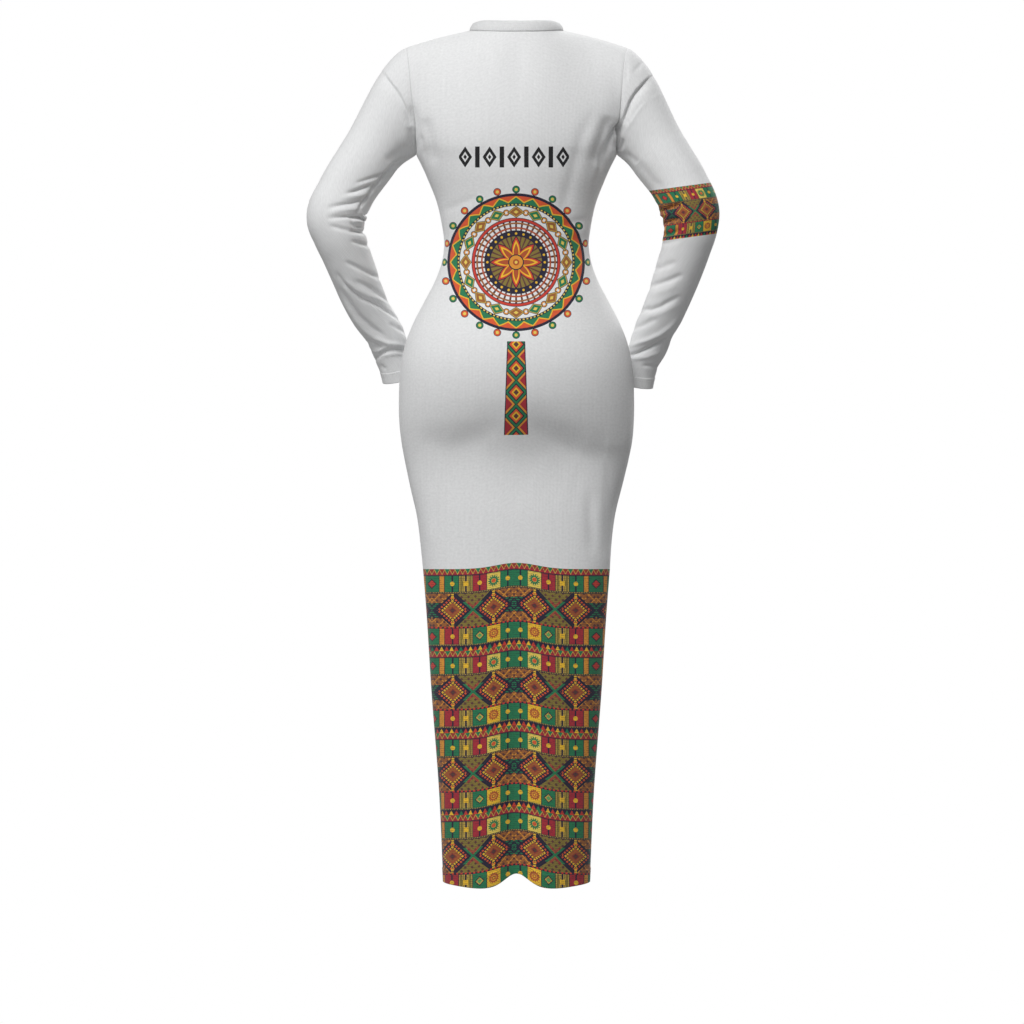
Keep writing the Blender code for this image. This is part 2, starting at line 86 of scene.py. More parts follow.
class Kind(Enum):
    """What a piece of cloth covers, and so which creases run over it."""

    BOTH = "body and sleeve"
    BODY = "body"
    SLEEVE = "sleeve"


class Ink(Enum):
    """The printed colours."""

    GREEN = srgb(45, 125, 85)
    LEAF = srgb(96, 164, 96)
    RED = srgb(170, 52, 62)
    MAROON = srgb(160, 62, 52)
    SCARLET = srgb(204, 66, 54)
    FLAME = srgb(218, 92, 56)
    RUST = srgb(176, 84, 52)
    YELLOW = srgb(238, 190, 56)
    STRAW = srgb(232, 206, 96)
    SAND = srgb(204, 172, 82)
    ORANGE = srgb(222, 150, 60)
    OLIVE = srgb(136, 120, 60)
    BROWN = srgb(158, 100, 56)
    EARTH = srgb(98, 64, 60)
    NAVY = srgb(44, 42, 60)
    BLACK = srgb(38, 38, 40)


class Section(NamedTuple):
    """The dress's outline at one level; depths run from the side seam, squareness is the curve's exponent."""

    height: float
    half_width: float
    back: float
    front: float
    squareness: float


class Hollow(NamedTuple):
    """The long hollow at a panel's centre, and how the hem's edge rises there and dips beside it."""

    depth: float
    top: float
    half_width: float
    hem_rise: float
    rise_half_width: float
    hem_dip: float
    dip_at: float
    dip_half_width: float


class Neckline(NamedTuple):
    """How far a panel's neckline drops below the neck points, and how far it lies from them."""

    drop: float
    depth: float


class Rise(NamedTuple):
    """How a panel's columns leave the underarm and arrive at the upper edge, as steps from their ends."""

    slope_rise: float
    arm_leave: tuple[float, float, float]
    centre_arrive: tuple[float, float, float]
    neck_arrive: tuple[float, float, float]
    arm_arrive: tuple[float, float, float]


class Lift(NamedTuple):
    """How far a panel's ornament rises at the middle: at its upper edge, and more for each metre below."""

    at_top: float
    growth: float


class Station(NamedTuple):
    """A sleeve's axis at one level, with half its width across and half its depth."""

    x: float
    y: float
    z: float
    wide: float
    deep: float


class Crease(NamedTuple):
    """A soft trough along a line laid on the dress. A depth below 0 is a ridge.

    The line's points are places on the view from behind, counted in units of 1.6 mm: the first number runs to
    the right and the second one down. Depth and half width are in millimetres, and a sharpness of 2 is plain.
    The spread widens the trough on the line's right-hand side, where the cloth falls back more gently.
    """

    line: tuple[tuple[float, float], ...]
    depth: float
    half_width: float
    sharpness: float = 2.0
    spread: float = 1.0


SECTIONS = (
    Section(-1.359, 0.1173, 0.073, 0.070, 2.30),
    Section(-1.215, 0.1240, 0.0755, 0.074, 2.30),
    Section(-1.057, 0.1360, 0.078, 0.084, 2.25),
    Section(-0.905, 0.1460, 0.078, 0.094, 2.20),
    Section(-0.842, 0.1515, 0.078, 0.099, 2.20),
    Section(-0.779, 0.1596, 0.080, 0.104, 2.20),
    Section(-0.716, 0.1746, 0.0855, 0.109, 2.20),
    Section(-0.684, 0.1810, 0.092, 0.1103, 2.20),
    Section(-0.652, 0.1857, 0.1025, 0.111, 2.20),
    Section(-0.620, 0.1878, 0.115, 0.1117, 2.20),
    Section(-0.589, 0.1880, 0.1255, 0.112, 2.20),
    Section(-0.526, 0.1833, 0.130, 0.111, 2.20),
    Section(-0.494, 0.1755, 0.1225, 0.108, 2.15),
    Section(-0.463, 0.1627, 0.1105, 0.103, 2.10),
    Section(-0.431, 0.1460, 0.097, 0.097, 2.10),
    Section(-0.400, 0.1300, 0.0865, 0.092, 2.10),
    Section(-0.368, 0.1190, 0.080, 0.088, 2.10),
    Section(-0.344, 0.1158, 0.078, 0.087, 2.10),
    Section(-0.305, 0.1205, 0.082, 0.094, 2.10),
    Section(-0.273, 0.1280, 0.088, 0.104, 2.10),
    Section(-0.242, 0.1400, 0.094, 0.114, 2.15),
    Section(-0.210, 0.1545, 0.098, 0.119, 2.20),
    Section(-0.199, 0.1605, 0.100, 0.120, 2.20),
)
HOLLOWS = {
    Side.BACK: Hollow(0.020, 0.60, 0.030, 0.0193, 0.025, 0.0028, 0.060, 0.036),
    Side.FRONT: Hollow(0.012, 0.50, 0.034, 0.0120, 0.030, 0.0025, 0.060, 0.036),
}
NECKLINES = {Side.BACK: Neckline(0.012, 0.058), Side.FRONT: Neckline(0.075, 0.060)}
RISES = {
    Side.BACK: Rise(
        slope_rise=0.060,
        arm_leave=(0.002, 0.072, 0.016),
        centre_arrive=(0.0, 0.024, -0.050),
        neck_arrive=(0.034, 0.046, -0.016),
        arm_arrive=(-0.010, 0.064, -0.008),
    ),
    Side.FRONT: Rise(
        slope_rise=0.045,
        arm_leave=(-0.006, -0.070, 0.012),
        centre_arrive=(0.0, -0.026, -0.034),
        neck_arrive=(0.030, -0.040, -0.018),
        arm_arrive=(-0.016, -0.066, -0.008),
    ),
}
STATIONS = {
    Hand.LEFT: (
        Station(0.2354, 0.008, -0.2022, 0.0480, 0.0475),
        Station(0.2718, 0.020, -0.2615, 0.0455, 0.0450),
        Station(0.2876, 0.026, -0.3050, 0.0458, 0.0440),
        Station(0.2820, 0.023, -0.3286, 0.0420, 0.0425),
        Station(0.2726, 0.014, -0.3555, 0.0387, 0.0400),
        Station(0.2607, 0.000, -0.3870, 0.0370, 0.0380),
        Station(0.2498, -0.016, -0.4163, 0.0355, 0.0360),
        Station(0.2350, -0.034, -0.4480, 0.0335, 0.0340),
        Station(0.2160, -0.051, -0.4770, 0.0318, 0.0325),
        Station(0.2085, -0.059, -0.4945, 0.0308, 0.0315),
        Station(0.2055, -0.064, -0.5103, 0.0276, 0.0290),
        Station(0.1966, -0.071, -0.5356, 0.0262, 0.0275),
        Station(0.1926, -0.0755, -0.5535, 0.0256, 0.0271),
    ),
    Hand.RIGHT: (
        Station(-0.2300, 0.008, -0.2022, 0.0485, 0.0475),
        Station(-0.2600, 0.018, -0.2500, 0.0455, 0.0455),
        Station(-0.2765, 0.026, -0.2990, 0.0460, 0.0440),
        Station(-0.2760, 0.024, -0.3200, 0.0430, 0.0430),
        Station(-0.2706, 0.017, -0.3468, 0.0395, 0.0405),
        Station(-0.2556, -0.002, -0.3950, 0.0368, 0.0380),
        Station(-0.2400, -0.022, -0.4380, 0.0340, 0.0350),
        Station(-0.2215, -0.044, -0.4790, 0.0318, 0.0328),
        Station(-0.2140, -0.054, -0.5010, 0.0308, 0.0315),
        Station(-0.2060, -0.061, -0.5200, 0.0280, 0.0290),
        Station(-0.1990, -0.070, -0.5480, 0.0265, 0.0275),
        Station(-0.1966, -0.0736, -0.5630, 0.0260, 0.0272),
    ),
}
BACK_CREASES = {
    Kind.BOTH: (
        # the left armpit, and the fold from it up to the shoulder
        Crease(((384, 74), (388, 80), (395, 89), (400, 96), (404, 104), (408, 113),
                (410, 121)), 4.2, 1.8, 1.6, 5.0),
        Crease(((411, 104), (413, 116), (415, 128), (416, 140), (416, 154)), 4.5, 8.0),
        Crease(((419, 136), (421, 146), (424, 158)), 2.2, 3.6),
        Crease(((405, 124), (409, 128), (415, 126)), -1.6, 2.4),
        # the right armpit and its folds
        Crease(((622, 125), (624, 117), (627, 109), (630, 101), (635, 93), (641, 86), (646, 81),
                (650, 77)), 6.5, 1.5, 1.6, 5.0),
        Crease(((622, 121), (617, 133), (613, 144), (609, 156)), 5.0, 3.6, 1.8),
        Crease(((619, 124), (617, 136), (616, 152)), 6.0, 9.0),
        Crease(((623, 140), (620, 152)), 2.6, 3.2),
        Crease(((655, 95), (648, 99), (641, 105), (635, 112), (630, 122)), 0.7, 3.0),
        Crease(((660, 95), (648, 99), (640, 108), (633, 119), (626, 130), (621, 140)), -0.8, 3.6),
        Crease(((643, 62), (634, 72)), 1.2, 4.0),
        Crease(((627, 60), (626, 82)), 1.2, 3.0),
    ),
    Kind.SLEEVE: (
        # the left upper arm and elbow
        Crease(((408, 112), (410, 124), (411, 138), (410, 152)), 2.6, 6.0),
        Crease(((408, 146), (398, 154), (386, 163)), 2.6, 9.0),
        Crease(((406, 158), (394, 165), (385, 175), (376, 185), (368, 196), (361, 206),
                (357, 213)), 5.0, 2.5, 1.5),
        Crease(((386, 174), (376, 177), (366, 180), (356, 183)), 2.6, 2.8),
        Crease(((377, 184), (367, 187), (356, 191), (347, 193)), 4.2, 3.0),
        Crease(((371, 193), (356, 196), (342, 198)), -1.8, 3.2),
        Crease(((364, 200), (353, 203), (340, 205), (328, 208)), 4.0, 3.0),
        Crease(((362, 208), (346, 210), (332, 212)), -1.8, 3.2),
        Crease(((369, 217), (361, 218), (350, 217)), 5.6, 2.6, 1.6),
        Crease(((362, 216), (346, 217), (328, 218)), 3.4, 2.8),
        Crease(((363, 222), (353, 221)), -3.0, 2.6),
        Crease(((351, 222), (355, 227), (364, 227)), 3.4, 2.4, 1.6),
        Crease(((370, 233), (361, 232), (350, 231)), 5.8, 3.0, 1.6),
        Crease(((352, 231), (342, 229), (330, 226)), 2.8, 3.0),
        Crease(((371, 246), (362, 244), (351, 241)), 3.0, 3.0),
        # the left forearm and cuff
        Crease(((381, 278), (373, 275), (362, 270), (346, 262)), 3.4, 3.4),
        Crease(((392, 300), (382, 296), (370, 288), (356, 281)), 3.0, 3.6),
        Crease(((337, 274), (341, 279), (346, 286), (353, 292), (361, 298), (370, 302), (379, 306),
                (389, 311), (402, 318)), 4.2, 2.6, 1.5),
        Crease(((343, 279), (356, 289), (370, 296), (384, 301)), -1.8, 3.4),
        Crease(((338, 287), (345, 297), (352, 307), (360, 317), (370, 326), (382, 333)), 3.2, 3.8),
        Crease(((344, 302), (353, 317), (362, 328), (373, 336), (386, 341), (403, 342)), -2.8, 3.4),
        Crease(((408, 330), (398, 326), (388, 322)), 2.2, 3.4),
        Crease(((362, 337), (370, 341), (379, 345)), 4.6, 2.8, 1.6),
        Crease(((367, 347), (376, 348), (384, 345)), -1.4, 2.4),
        Crease(((366, 356), (374, 353), (382, 349), (391, 347), (405, 346)), 4.2, 2.5, 1.6),
        Crease(((378, 353), (392, 351), (404, 350)), -1.0, 3.0),
        Crease(((376, 361), (383, 366)), 1.4, 3.0),
        # the right upper arm and elbow
        Crease(((620, 152), (629, 156), (638, 163)), 1.6, 5.0),
        Crease(((638, 163), (646, 172), (653, 181), (662, 189)), 1.8, 7.0),
        Crease(((650, 210), (662, 210), (674, 206), (684, 203)), 5.2, 3.2),
        Crease(((654, 222), (666, 222), (680, 218)), 4.8, 3.0),
        Crease(((656, 216), (670, 214)), -2.4, 2.8),
        Crease(((654, 236), (668, 234), (682, 230)), 3.4, 3.4),
        Crease(((655, 244), (668, 243), (680, 239)), 1.8, 4.4),
        # the right forearm and cuff
        Crease(((650, 270), (660, 268), (676, 262)), 2.2, 4.8),
        Crease(((644, 287), (655, 285), (668, 281), (682, 275)), 3.2, 4.4),
        Crease(((650, 295), (664, 291), (678, 285)), -1.0, 5.0),
        Crease(((636, 305), (650, 310), (660, 307), (669, 302), (679, 297)), 3.8, 4.0, 1.7),
        Crease(((650, 317), (664, 312), (678, 305)), -1.0, 5.0),
        Crease(((630, 325), (644, 324), (656, 319)), 2.4, 4.6),
        Crease(((679, 318), (670, 327), (660, 334), (648, 339), (632, 343)), -3.0, 3.8),
        Crease(((626, 352), (638, 351), (650, 347), (660, 342), (671, 335)), 5.2, 3.0, 1.7),
        Crease(((634, 356), (648, 355), (662, 350)), -1.8, 3.2),
        Crease(((668, 362), (656, 363), (645, 363)), 1.8, 2.8),
    ),
    Kind.BODY: (
        # beside the armpits
        Crease(((424, 118), (427, 132), (429, 146), (433, 164)), 5.0, 11.0),
        Crease(((611, 116), (605, 138), (597, 166)), 8.0, 13.0),
        Crease(((616, 132), (608, 148), (603, 166), (596, 186)), 3.0, 6.0),
        Crease(((594, 112), (588, 124), (583, 134), (574, 168), (562, 217)), 2.4, 10.0),
        Crease(((610, 138), (602, 152), (594, 176)), -1.0, 4.0),
        # the waist
        Crease(((552, 226), (568, 224), (586, 219)), 2.0, 5.0),
        Crease(((556, 235), (574, 233), (590, 230)), -1.2, 6.0),
        Crease(((456, 238), (466, 232), (478, 226)), -1.4, 6.0),
        Crease(((444, 211), (458, 205), (476, 197)), 1.5, 6.0),
        # under the seat, and down both flanks from it
        Crease(((390, 432), (422, 447), (450, 453), (480, 445), (526, 418)), 9.5, 34.0, 2.0, 2.3),
        Crease(((508, 416), (552, 446), (582, 460), (608, 464), (638, 458)), 14.0, 35.0, 2.0, 2.3),
        Crease(((624, 446), (621, 490), (616, 525), (610, 560)), 3.5, 10.0, 2.0, 4.0),
        Crease(((592, 492), (591, 520), (593, 552)), 2.2, 8.5),
        Crease(((603, 500), (602, 548)), -1.2, 7.0),
        Crease(((430, 486), (427, 513), (430, 544)), -1.3, 9.0),
        # the skirt's drags
        Crease(((448, 600), (452, 690), (458, 800), (462, 870)), 1.6, 12.0),
        Crease(((578, 610), (574, 700), (569, 800), (566, 870)), 1.6, 12.0),
    ),
}
FRONT_CREASES = {
    Kind.BOTH: (
        Crease(((387, 74), (396, 86), (404, 100), (409, 115), (411, 134)), 4.6, 4.4, 1.8),
        Crease(((650, 76), (640, 87), (632, 99), (626, 113), (622, 134)), 5.2, 4.4, 1.8),
    ),
    Kind.SLEEVE: (
        # the left sleeve, from shoulder to cuff
        Crease(((380, 88), (392, 103), (400, 118)), -1.5, 6.0),
        Crease(((404, 157), (390, 168), (372, 180)), 3.2, 4.6),
        Crease(((372, 188), (352, 196), (338, 199)), 2.6, 5.0),
        Crease(((368, 217), (351, 214), (334, 210)), 6.0, 3.8),
        Crease(((366, 223), (350, 221)), -2.4, 3.4),
        Crease(((368, 232), (352, 230), (338, 233)), 5.6, 3.8),
        Crease(((370, 245), (354, 247)), 2.6, 4.4),
        Crease(((342, 262), (358, 274), (380, 280)), 2.6, 5.2),
        Crease(((348, 286), (366, 300), (392, 309)), 3.6, 4.6),
        Crease(((346, 300), (362, 318), (380, 328)), 2.6, 5.0),
        Crease(((356, 322), (376, 337), (402, 340)), -2.8, 5.4),
        Crease(((366, 338), (382, 347), (402, 348)), 4.4, 4.2),
        # the right sleeve, from shoulder to cuff
        Crease(((655, 92), (644, 104), (635, 120)), -1.5, 6.0),
        Crease(((632, 158), (644, 169), (656, 184)), 3.2, 4.6),
        Crease(((657, 205), (678, 206), (694, 201)), 5.4, 3.8),
        Crease(((660, 210), (684, 212)), -2.2, 3.4),
        Crease(((660, 217), (676, 220)), 5.0, 3.8),
        Crease(((660, 228), (678, 230), (692, 236)), 4.2, 4.2),
        Crease(((660, 250), (680, 246)), 2.4, 5.0),
        Crease(((684, 272), (668, 284), (650, 290)), 2.6, 5.2),
        Crease(((680, 296), (662, 307), (642, 312)), 3.4, 4.6),
        Crease(((684, 316), (664, 332), (636, 342)), -2.8, 5.4),
        Crease(((680, 330), (660, 345), (632, 351)), 4.4, 4.2),
    ),
    Kind.BODY: (
        # beside the armpits
        Crease(((432, 100), (426, 122), (420, 146)), 2.4, 8.0),
        Crease(((604, 98), (609, 120), (614, 146)), 2.4, 8.0),
        # the waist
        Crease(((478, 240), (464, 234), (448, 226)), 2.0, 6.0),
        Crease(((476, 252), (462, 249), (446, 246)), 1.6, 6.0),
        Crease(((556, 238), (570, 232), (588, 226)), 2.0, 6.0),
        Crease(((560, 250), (574, 248), (590, 245)), 1.4, 6.0),
        # below the hips, and the skirt's drags
        Crease(((536, 436), (568, 426), (606, 402)), 3.4, 17.0),
        Crease(((496, 440), (466, 431), (426, 408)), 3.4, 17.0),
        Crease(((454, 520), (450, 560), (452, 600)), 2.0, 10.0),
        Crease(((578, 530), (582, 570), (579, 620)), 2.0, 10.0),
        Crease(((470, 640), (466, 720), (470, 800)), 1.6, 12.0),
        Crease(((560, 660), (564, 740), (560, 820)), 1.6, 12.0),
    ),
}


@dataclass(frozen=True)
class Cut:
    """The cloth's sizes that every piece shares, in metres."""

    wall: float = 0.0015
    seam_dip: float = 0.0008
    seam_reach: float = 0.0030
    hem_height: float = -1.359
    hem_turn: float = 0.022
    cuff_turn: float = 0.0175
    turn_rise: float = 0.0006
    turn_step: float = 0.0014
    hem_wave: float = 0.09
    underarm: float = -0.199
    neck: float = 0.075
    shoulder: float = 0.103
    shoulder_drop: float = 0.027
    columns: int = 60
    neck_columns: int = 25
    crowding: float = 1.15
    skirt_rows: int = 250
    arm_rows: int = 62
    cap_rows: int = 100
    tube_rows: int = 215

    def turned(self, from_edge: Grid, width: float) -> Grid:
        """Works out how far a turned hem lifts the cloth.

        Args:
            from_edge: each point's distance from the hem's edge.
            width: how wide the turning is.

        Returns:
            The lift at each point.
        """
        return self.turn_rise * (1 - smoothstep((from_edge - width) / self.turn_step + 0.5))


CUT = Cut()


@dataclass(frozen=True)
class BandSizes:
    """The neck band's sizes, in metres."""

    height: float = 0.018
    lean: float = 0.006
    proud: float = 0.0005
    wall: float = 0.0024
    rows: int = 8
    ease: float = 0.32
    ease_drop: float = 0.005


BAND = BandSizes()
# the rows that form the turned edges: above the hem, and before the wrist
HEM_LEVELS = (0.0, 0.0012, 0.0035, 0.008, 0.0135, 0.0185, 0.0203, 0.0213, 0.0221, 0.0229, 0.0240, 0.027)
WRIST_LEVELS = (0.0012, 0.0035, 0.0158, 0.0168, 0.0176, 0.0184, 0.0195)
# where the hem's ornament starts, and how it rises at the middle of each panel
ORNAMENT_TOP = -0.8610
LIFTS = {Side.BACK: Lift(0.0102, 0.0115), Side.FRONT: Lift(0.0080, 0.0060)}
LIFT_FROM = -0.70
LIFT_FADE = 0.10
LIFT_HALF_WIDTH = 0.045
# the smallest share of its real length that a stretch of print is squeezed to, as seen from behind
TIGHTEST = {Kind.BODY: 0.60, Kind.SLEEVE: 0.50}
# how far the rows of a print slope on each sleeve, as seen from behind
SLEEVE_TILT = {Hand.LEFT: 0.135, Hand.RIGHT: -0.135}
# the view from behind, where the creases' lines are laid: its unit, its middle and top in units, and the
# level and distance that it is seen from
VIEW_UNIT = 0.0016
VIEW_CENTRE = 516.5
VIEW_TOP = 31.0
VIEW_LEVEL = -0.7696
VIEW_DISTANCE = 3.8
# how creases end: those with a half width above SHADOW_WIDTH, in millimetres, fade from their middle, and the
# others only near their ends
SHADOW_WIDTH = 15.0
SHADOW_FADE = 1.5
END_FADE = 0.8
# how many half widths a crease reaches, and how far round the side the cloth still takes it up
CREASE_REACH = 3.2
FACING_FROM = -0.28
FACING_RISE = 0.50


def bell(distance: Grid | float, half_width: float) -> Grid:
    """Gives 1 in the middle, falling smoothly to nothing over about twice the half width.

    Args:
        distance: how far from the middle.
        half_width: where the height has fallen to about a third.

    Returns:
        The height at each distance.
    """
    return np.exp(-((np.asarray(distance) / half_width) ** 2))


def smoothstep(t: Grid | float) -> Grid:
    """Gives a smooth rise from 0 to 1.

    Args:
        t: the place in the rise.

    Returns:
        0 up to 0, 1 from 1, and the rise between.
    """
    t = np.clip(t, 0.0, 1.0)
    return t * t * (3 - 2 * t)


def lengths_along(points: Grid) -> Grid:
    """Measures how far along a line each of its points lies.

    Args:
        points: the line's points.

    Returns:
        A length for each point.
    """
    steps = np.linalg.norm(np.diff(points, axis=0), axis=1)
    return np.concatenate(((0.0,), np.cumsum(steps)))


def joined(grid: Grid) -> Grid:
    """Repeats a tube's first column after its last one.

    Args:
        grid: the tube's points, in rings.

    Returns:
        The points with one column more.
    """
    return np.concatenate((grid, grid[:, :1]), axis=1)


def curve_value(places: Sequence[float], values: Sequence, place: float) -> Grid:
    """Reads a smooth curve through values at rising places.

    Args:
        places: where the values stand, rising.
        values: a number or a row of numbers for each place.
        place: where to read.

    Returns:
        The curve's value there.
    """
    places = np.asarray(places, float)
    values = np.asarray(values, float)
    slopes = np.gradient(values, places, axis=0)
    i = int(np.clip(np.searchsorted(places, place) - 1, 0, len(places) - 2))
    step = places[i + 1] - places[i]
    t = (place - places[i]) / step
    return (
        values[i] * (2 * t**3 - 3 * t**2 + 1)
        + slopes[i] * step * (t**3 - 2 * t**2 + t)
        + values[i + 1] * (3 * t**2 - 2 * t**3)
        + slopes[i + 1] * step * (t**3 - t**2)
    )


def bezier(start: Grid, leave: Grid, arrive: Grid, end: Grid, t: float) -> Grid:
    """Reads a cubic whose middle control points are start + leave and end + arrive.

    Args:
        start: where it starts, a point or a row of points.
        leave: the step from the start to the first control point.
        arrive: the step from the end back to the second control point.
        end: where it ends.
        t: where to read, 0 to 1.

    Returns:
        The points there.
    """
    return (
        (1 - t) ** 3 * start
        + 3 * (1 - t) ** 2 * t * (start + leave)
        + 3 * (1 - t) * t**2 * (end + arrive)
        + t**3 * end
    )


class Body:
    """The smooth form of the two body panels."""

    BESIDE_SEAM = (0.004, 0.010)
    BELOW_TOP = (0.982, 0.994)
    NECK_ROUND = 0.35
    SHOULDER_BEND = 1.25
    SLOPE_STEP = 0.005
    SLOPE_KEPT = (0.6, 0.6, 1.0)
    EASINGS = 160
    EASE_HALF_WIDTH = 0.16
    EASE_IN = 4
    EASE_OUT = 12
    ROW_GAP = 0.004

    def __init__(self, cut: Cut) -> None:
        """Sets up the columns.

        Args:
            cut: the shared sizes.
        """
        self.cut = cut
        even = np.linspace(-1, 1, 2 * cut.columns + 1)
        shares = np.sign(even) * np.abs(even) ** cut.crowding
        beside_seam = 1 - np.array(self.BESIDE_SEAM)
        self.shares = np.sort(np.concatenate((shares, beside_seam, -beside_seam)))
        self.neck_share = (cut.neck_columns / cut.columns) ** cut.crowding
        self.at_neck = np.abs(self.shares) <= self.neck_share + 1e-9
        self.rises = np.sort(np.concatenate((np.linspace(0, 1, cut.arm_rows + 1), self.BELOW_TOP)))

    def turns(self) -> Grid:
        """Gives each armhole point's angle round the sleeve, from the underarm by way of the back.

        Returns:
            The angles in radians.
        """
        up = math.pi * self.rises
        return np.concatenate((up, 2 * math.pi - up[1:-1][::-1]))

    def ring(self, height: float, side: Side) -> Grid:
        """Gives the panel's points at one level of the plain section.

        Args:
            height: the level.
            side: the panel.

        Returns:
            One point for each column.
        """
        levels = [section.height for section in SECTIONS]
        sizes = [section[1:] for section in SECTIONS]
        half_width, back, front, squareness = curve_value(levels, sizes, height)
        angle = math.radians(90) * self.shares
        depth = back if side is Side.BACK else front
        x = half_width * np.sign(self.shares) * np.abs(np.sin(angle)) ** (2 / squareness)
        y = side.value * depth * np.abs(np.cos(angle)) ** (2 / squareness)
        y[[0, -1]] = 0.0
        return np.stack((x, y, np.full_like(x, height)), axis=1)

    def skirt_row(self, above_hem: float, side: Side) -> Grid:
        """Gives a row below the underarm, with the centre hollow and the hem's wave.

        Args:
            above_hem: the height above the hem's edge.
            side: the panel.

        Returns:
            One point for each column.
        """
        row = self.ring(self.cut.hem_height + above_hem, side)
        hollow = HOLLOWS[side]
        depth = hollow.depth * (1 - smoothstep(above_hem / hollow.top))
        row[:, 1] -= side.value * depth * bell(row[:, 0], hollow.half_width)
        fade = 1 - smoothstep(above_hem / self.cut.hem_wave)
        rise = hollow.hem_rise * bell(row[:, 0], hollow.rise_half_width)
        dip = hollow.hem_dip * bell(np.abs(row[:, 0]) - hollow.dip_at, hollow.dip_half_width)
        row[:, 2] += fade * (rise - dip) * (1 - self.shares**4)
        return row

    def top_row(self, side: Side) -> Grid:
        """Gives the panel's upper edge: the neckline between the two shoulder seams.

        Args:
            side: the panel.

        Returns:
            One point for each column.
        """
        out = np.abs(self.shares)
        angle = np.radians(90) * np.clip(out / self.neck_share, 0, 1)
        neck = out < self.neck_share - 1e-9
        along = np.clip((out - self.neck_share) / (1 - self.neck_share), 0, 1)
        lean = np.where(neck, np.cos(angle), 0.0)
        x = np.where(neck, self.cut.neck * np.sin(angle), self.cut.neck + self.cut.shoulder * along)
        y = side.value * NECKLINES[side].depth * lean
        dip = NECKLINES[side].drop * lean**2 * (1 + self.NECK_ROUND) / (lean + self.NECK_ROUND)
        z = -np.where(neck, dip, self.cut.shoulder_drop * along**self.SHOULDER_BEND)
        return np.stack((x * np.sign(self.shares), y, z), axis=1)

    def yoke_row(self, t: float, side: Side) -> Grid:
        """Gives a row above the underarm.

        Args:
            t: 0 at the underarm level and 1 at the shoulder or neckline.
            side: the panel.

        Returns:
            One point for each column.
        """
        rise = RISES[side]
        out = np.abs(self.shares)
        mirror = np.stack((np.sign(self.shares), np.ones_like(out), np.ones_like(out)), axis=1)
        start = self.ring(self.cut.underarm, side)
        below = self.ring(self.cut.underarm - self.SLOPE_STEP, side)
        slope = (start - below) / self.SLOPE_STEP * self.SLOPE_KEPT
        towards_arm = (out**3)[:, None]
        leave = slope * rise.slope_rise * (1 - towards_arm) + np.array(rise.arm_leave) * mirror * towards_arm
        steps = np.array((rise.centre_arrive, rise.neck_arrive, rise.arm_arrive)).T
        arrive = np.stack([np.interp(out, (0, self.neck_share, 1), values) for values in steps], axis=1)
        return bezier(start, leave, arrive * mirror, self.top_row(side), t)

    def grid(self, side: Side) -> Grid:
        """Gives all the points of a panel, hem row first.

        Args:
            side: the panel.

        Returns:
            Rows of points.
        """
        reach = self.cut.underarm - self.cut.hem_height
        plain = np.linspace(HEM_LEVELS[-1] + self.ROW_GAP, reach, self.cut.skirt_rows)
        levels = np.concatenate((HEM_LEVELS, plain))
        lower = [self.skirt_row(level, side) for level in levels]
        upper = [self.yoke_row(t, side) for t in self.rises[1:]]
        return self.eased(np.array(lower + upper))

    def eased(self, grid: Grid) -> Grid:
        """Softens the bend that runs down from each neck corner.

        Args:
            grid: the panel's points, hem row first.

        Returns:
            The softened points, with the edges as they were.
        """
        place = np.zeros(len(grid))
        place[-len(self.rises) :] = self.rises
        open_part = np.clip(self.EASE_IN * place, 0, 1) * np.clip(self.EASE_OUT * (1 - place), 0, 1)
        corner = bell(np.abs(self.shares) - self.neck_share, self.EASE_HALF_WIDTH)
        weight = np.outer(open_part, corner)[:, 1:-1, None]
        for _ in range(self.EASINGS):
            middles = (grid[:, 2:] + grid[:, :-2]) / 2
            grid[:, 1:-1] += 0.5 * weight * (middles - grid[:, 1:-1])
        return grid

    def armhole(self, grids: dict[Side, Grid], hand: Hand) -> Grid:
        """Gives the edge that a sleeve is sewn to, from the underarm up the back and down the front.

        Args:
            grids: both panels' points.
            hand: the sleeve.

        Returns:
            The loop's points.
        """
        column = -1 if hand is Hand.LEFT else 0
        first = len(grids[Side.BACK]) - len(self.rises)
        up_the_back = grids[Side.BACK][first:, column]
        down_the_front = grids[Side.FRONT][first + 1 : -1, column][::-1]
        return np.concatenate((up_the_back, down_the_front))


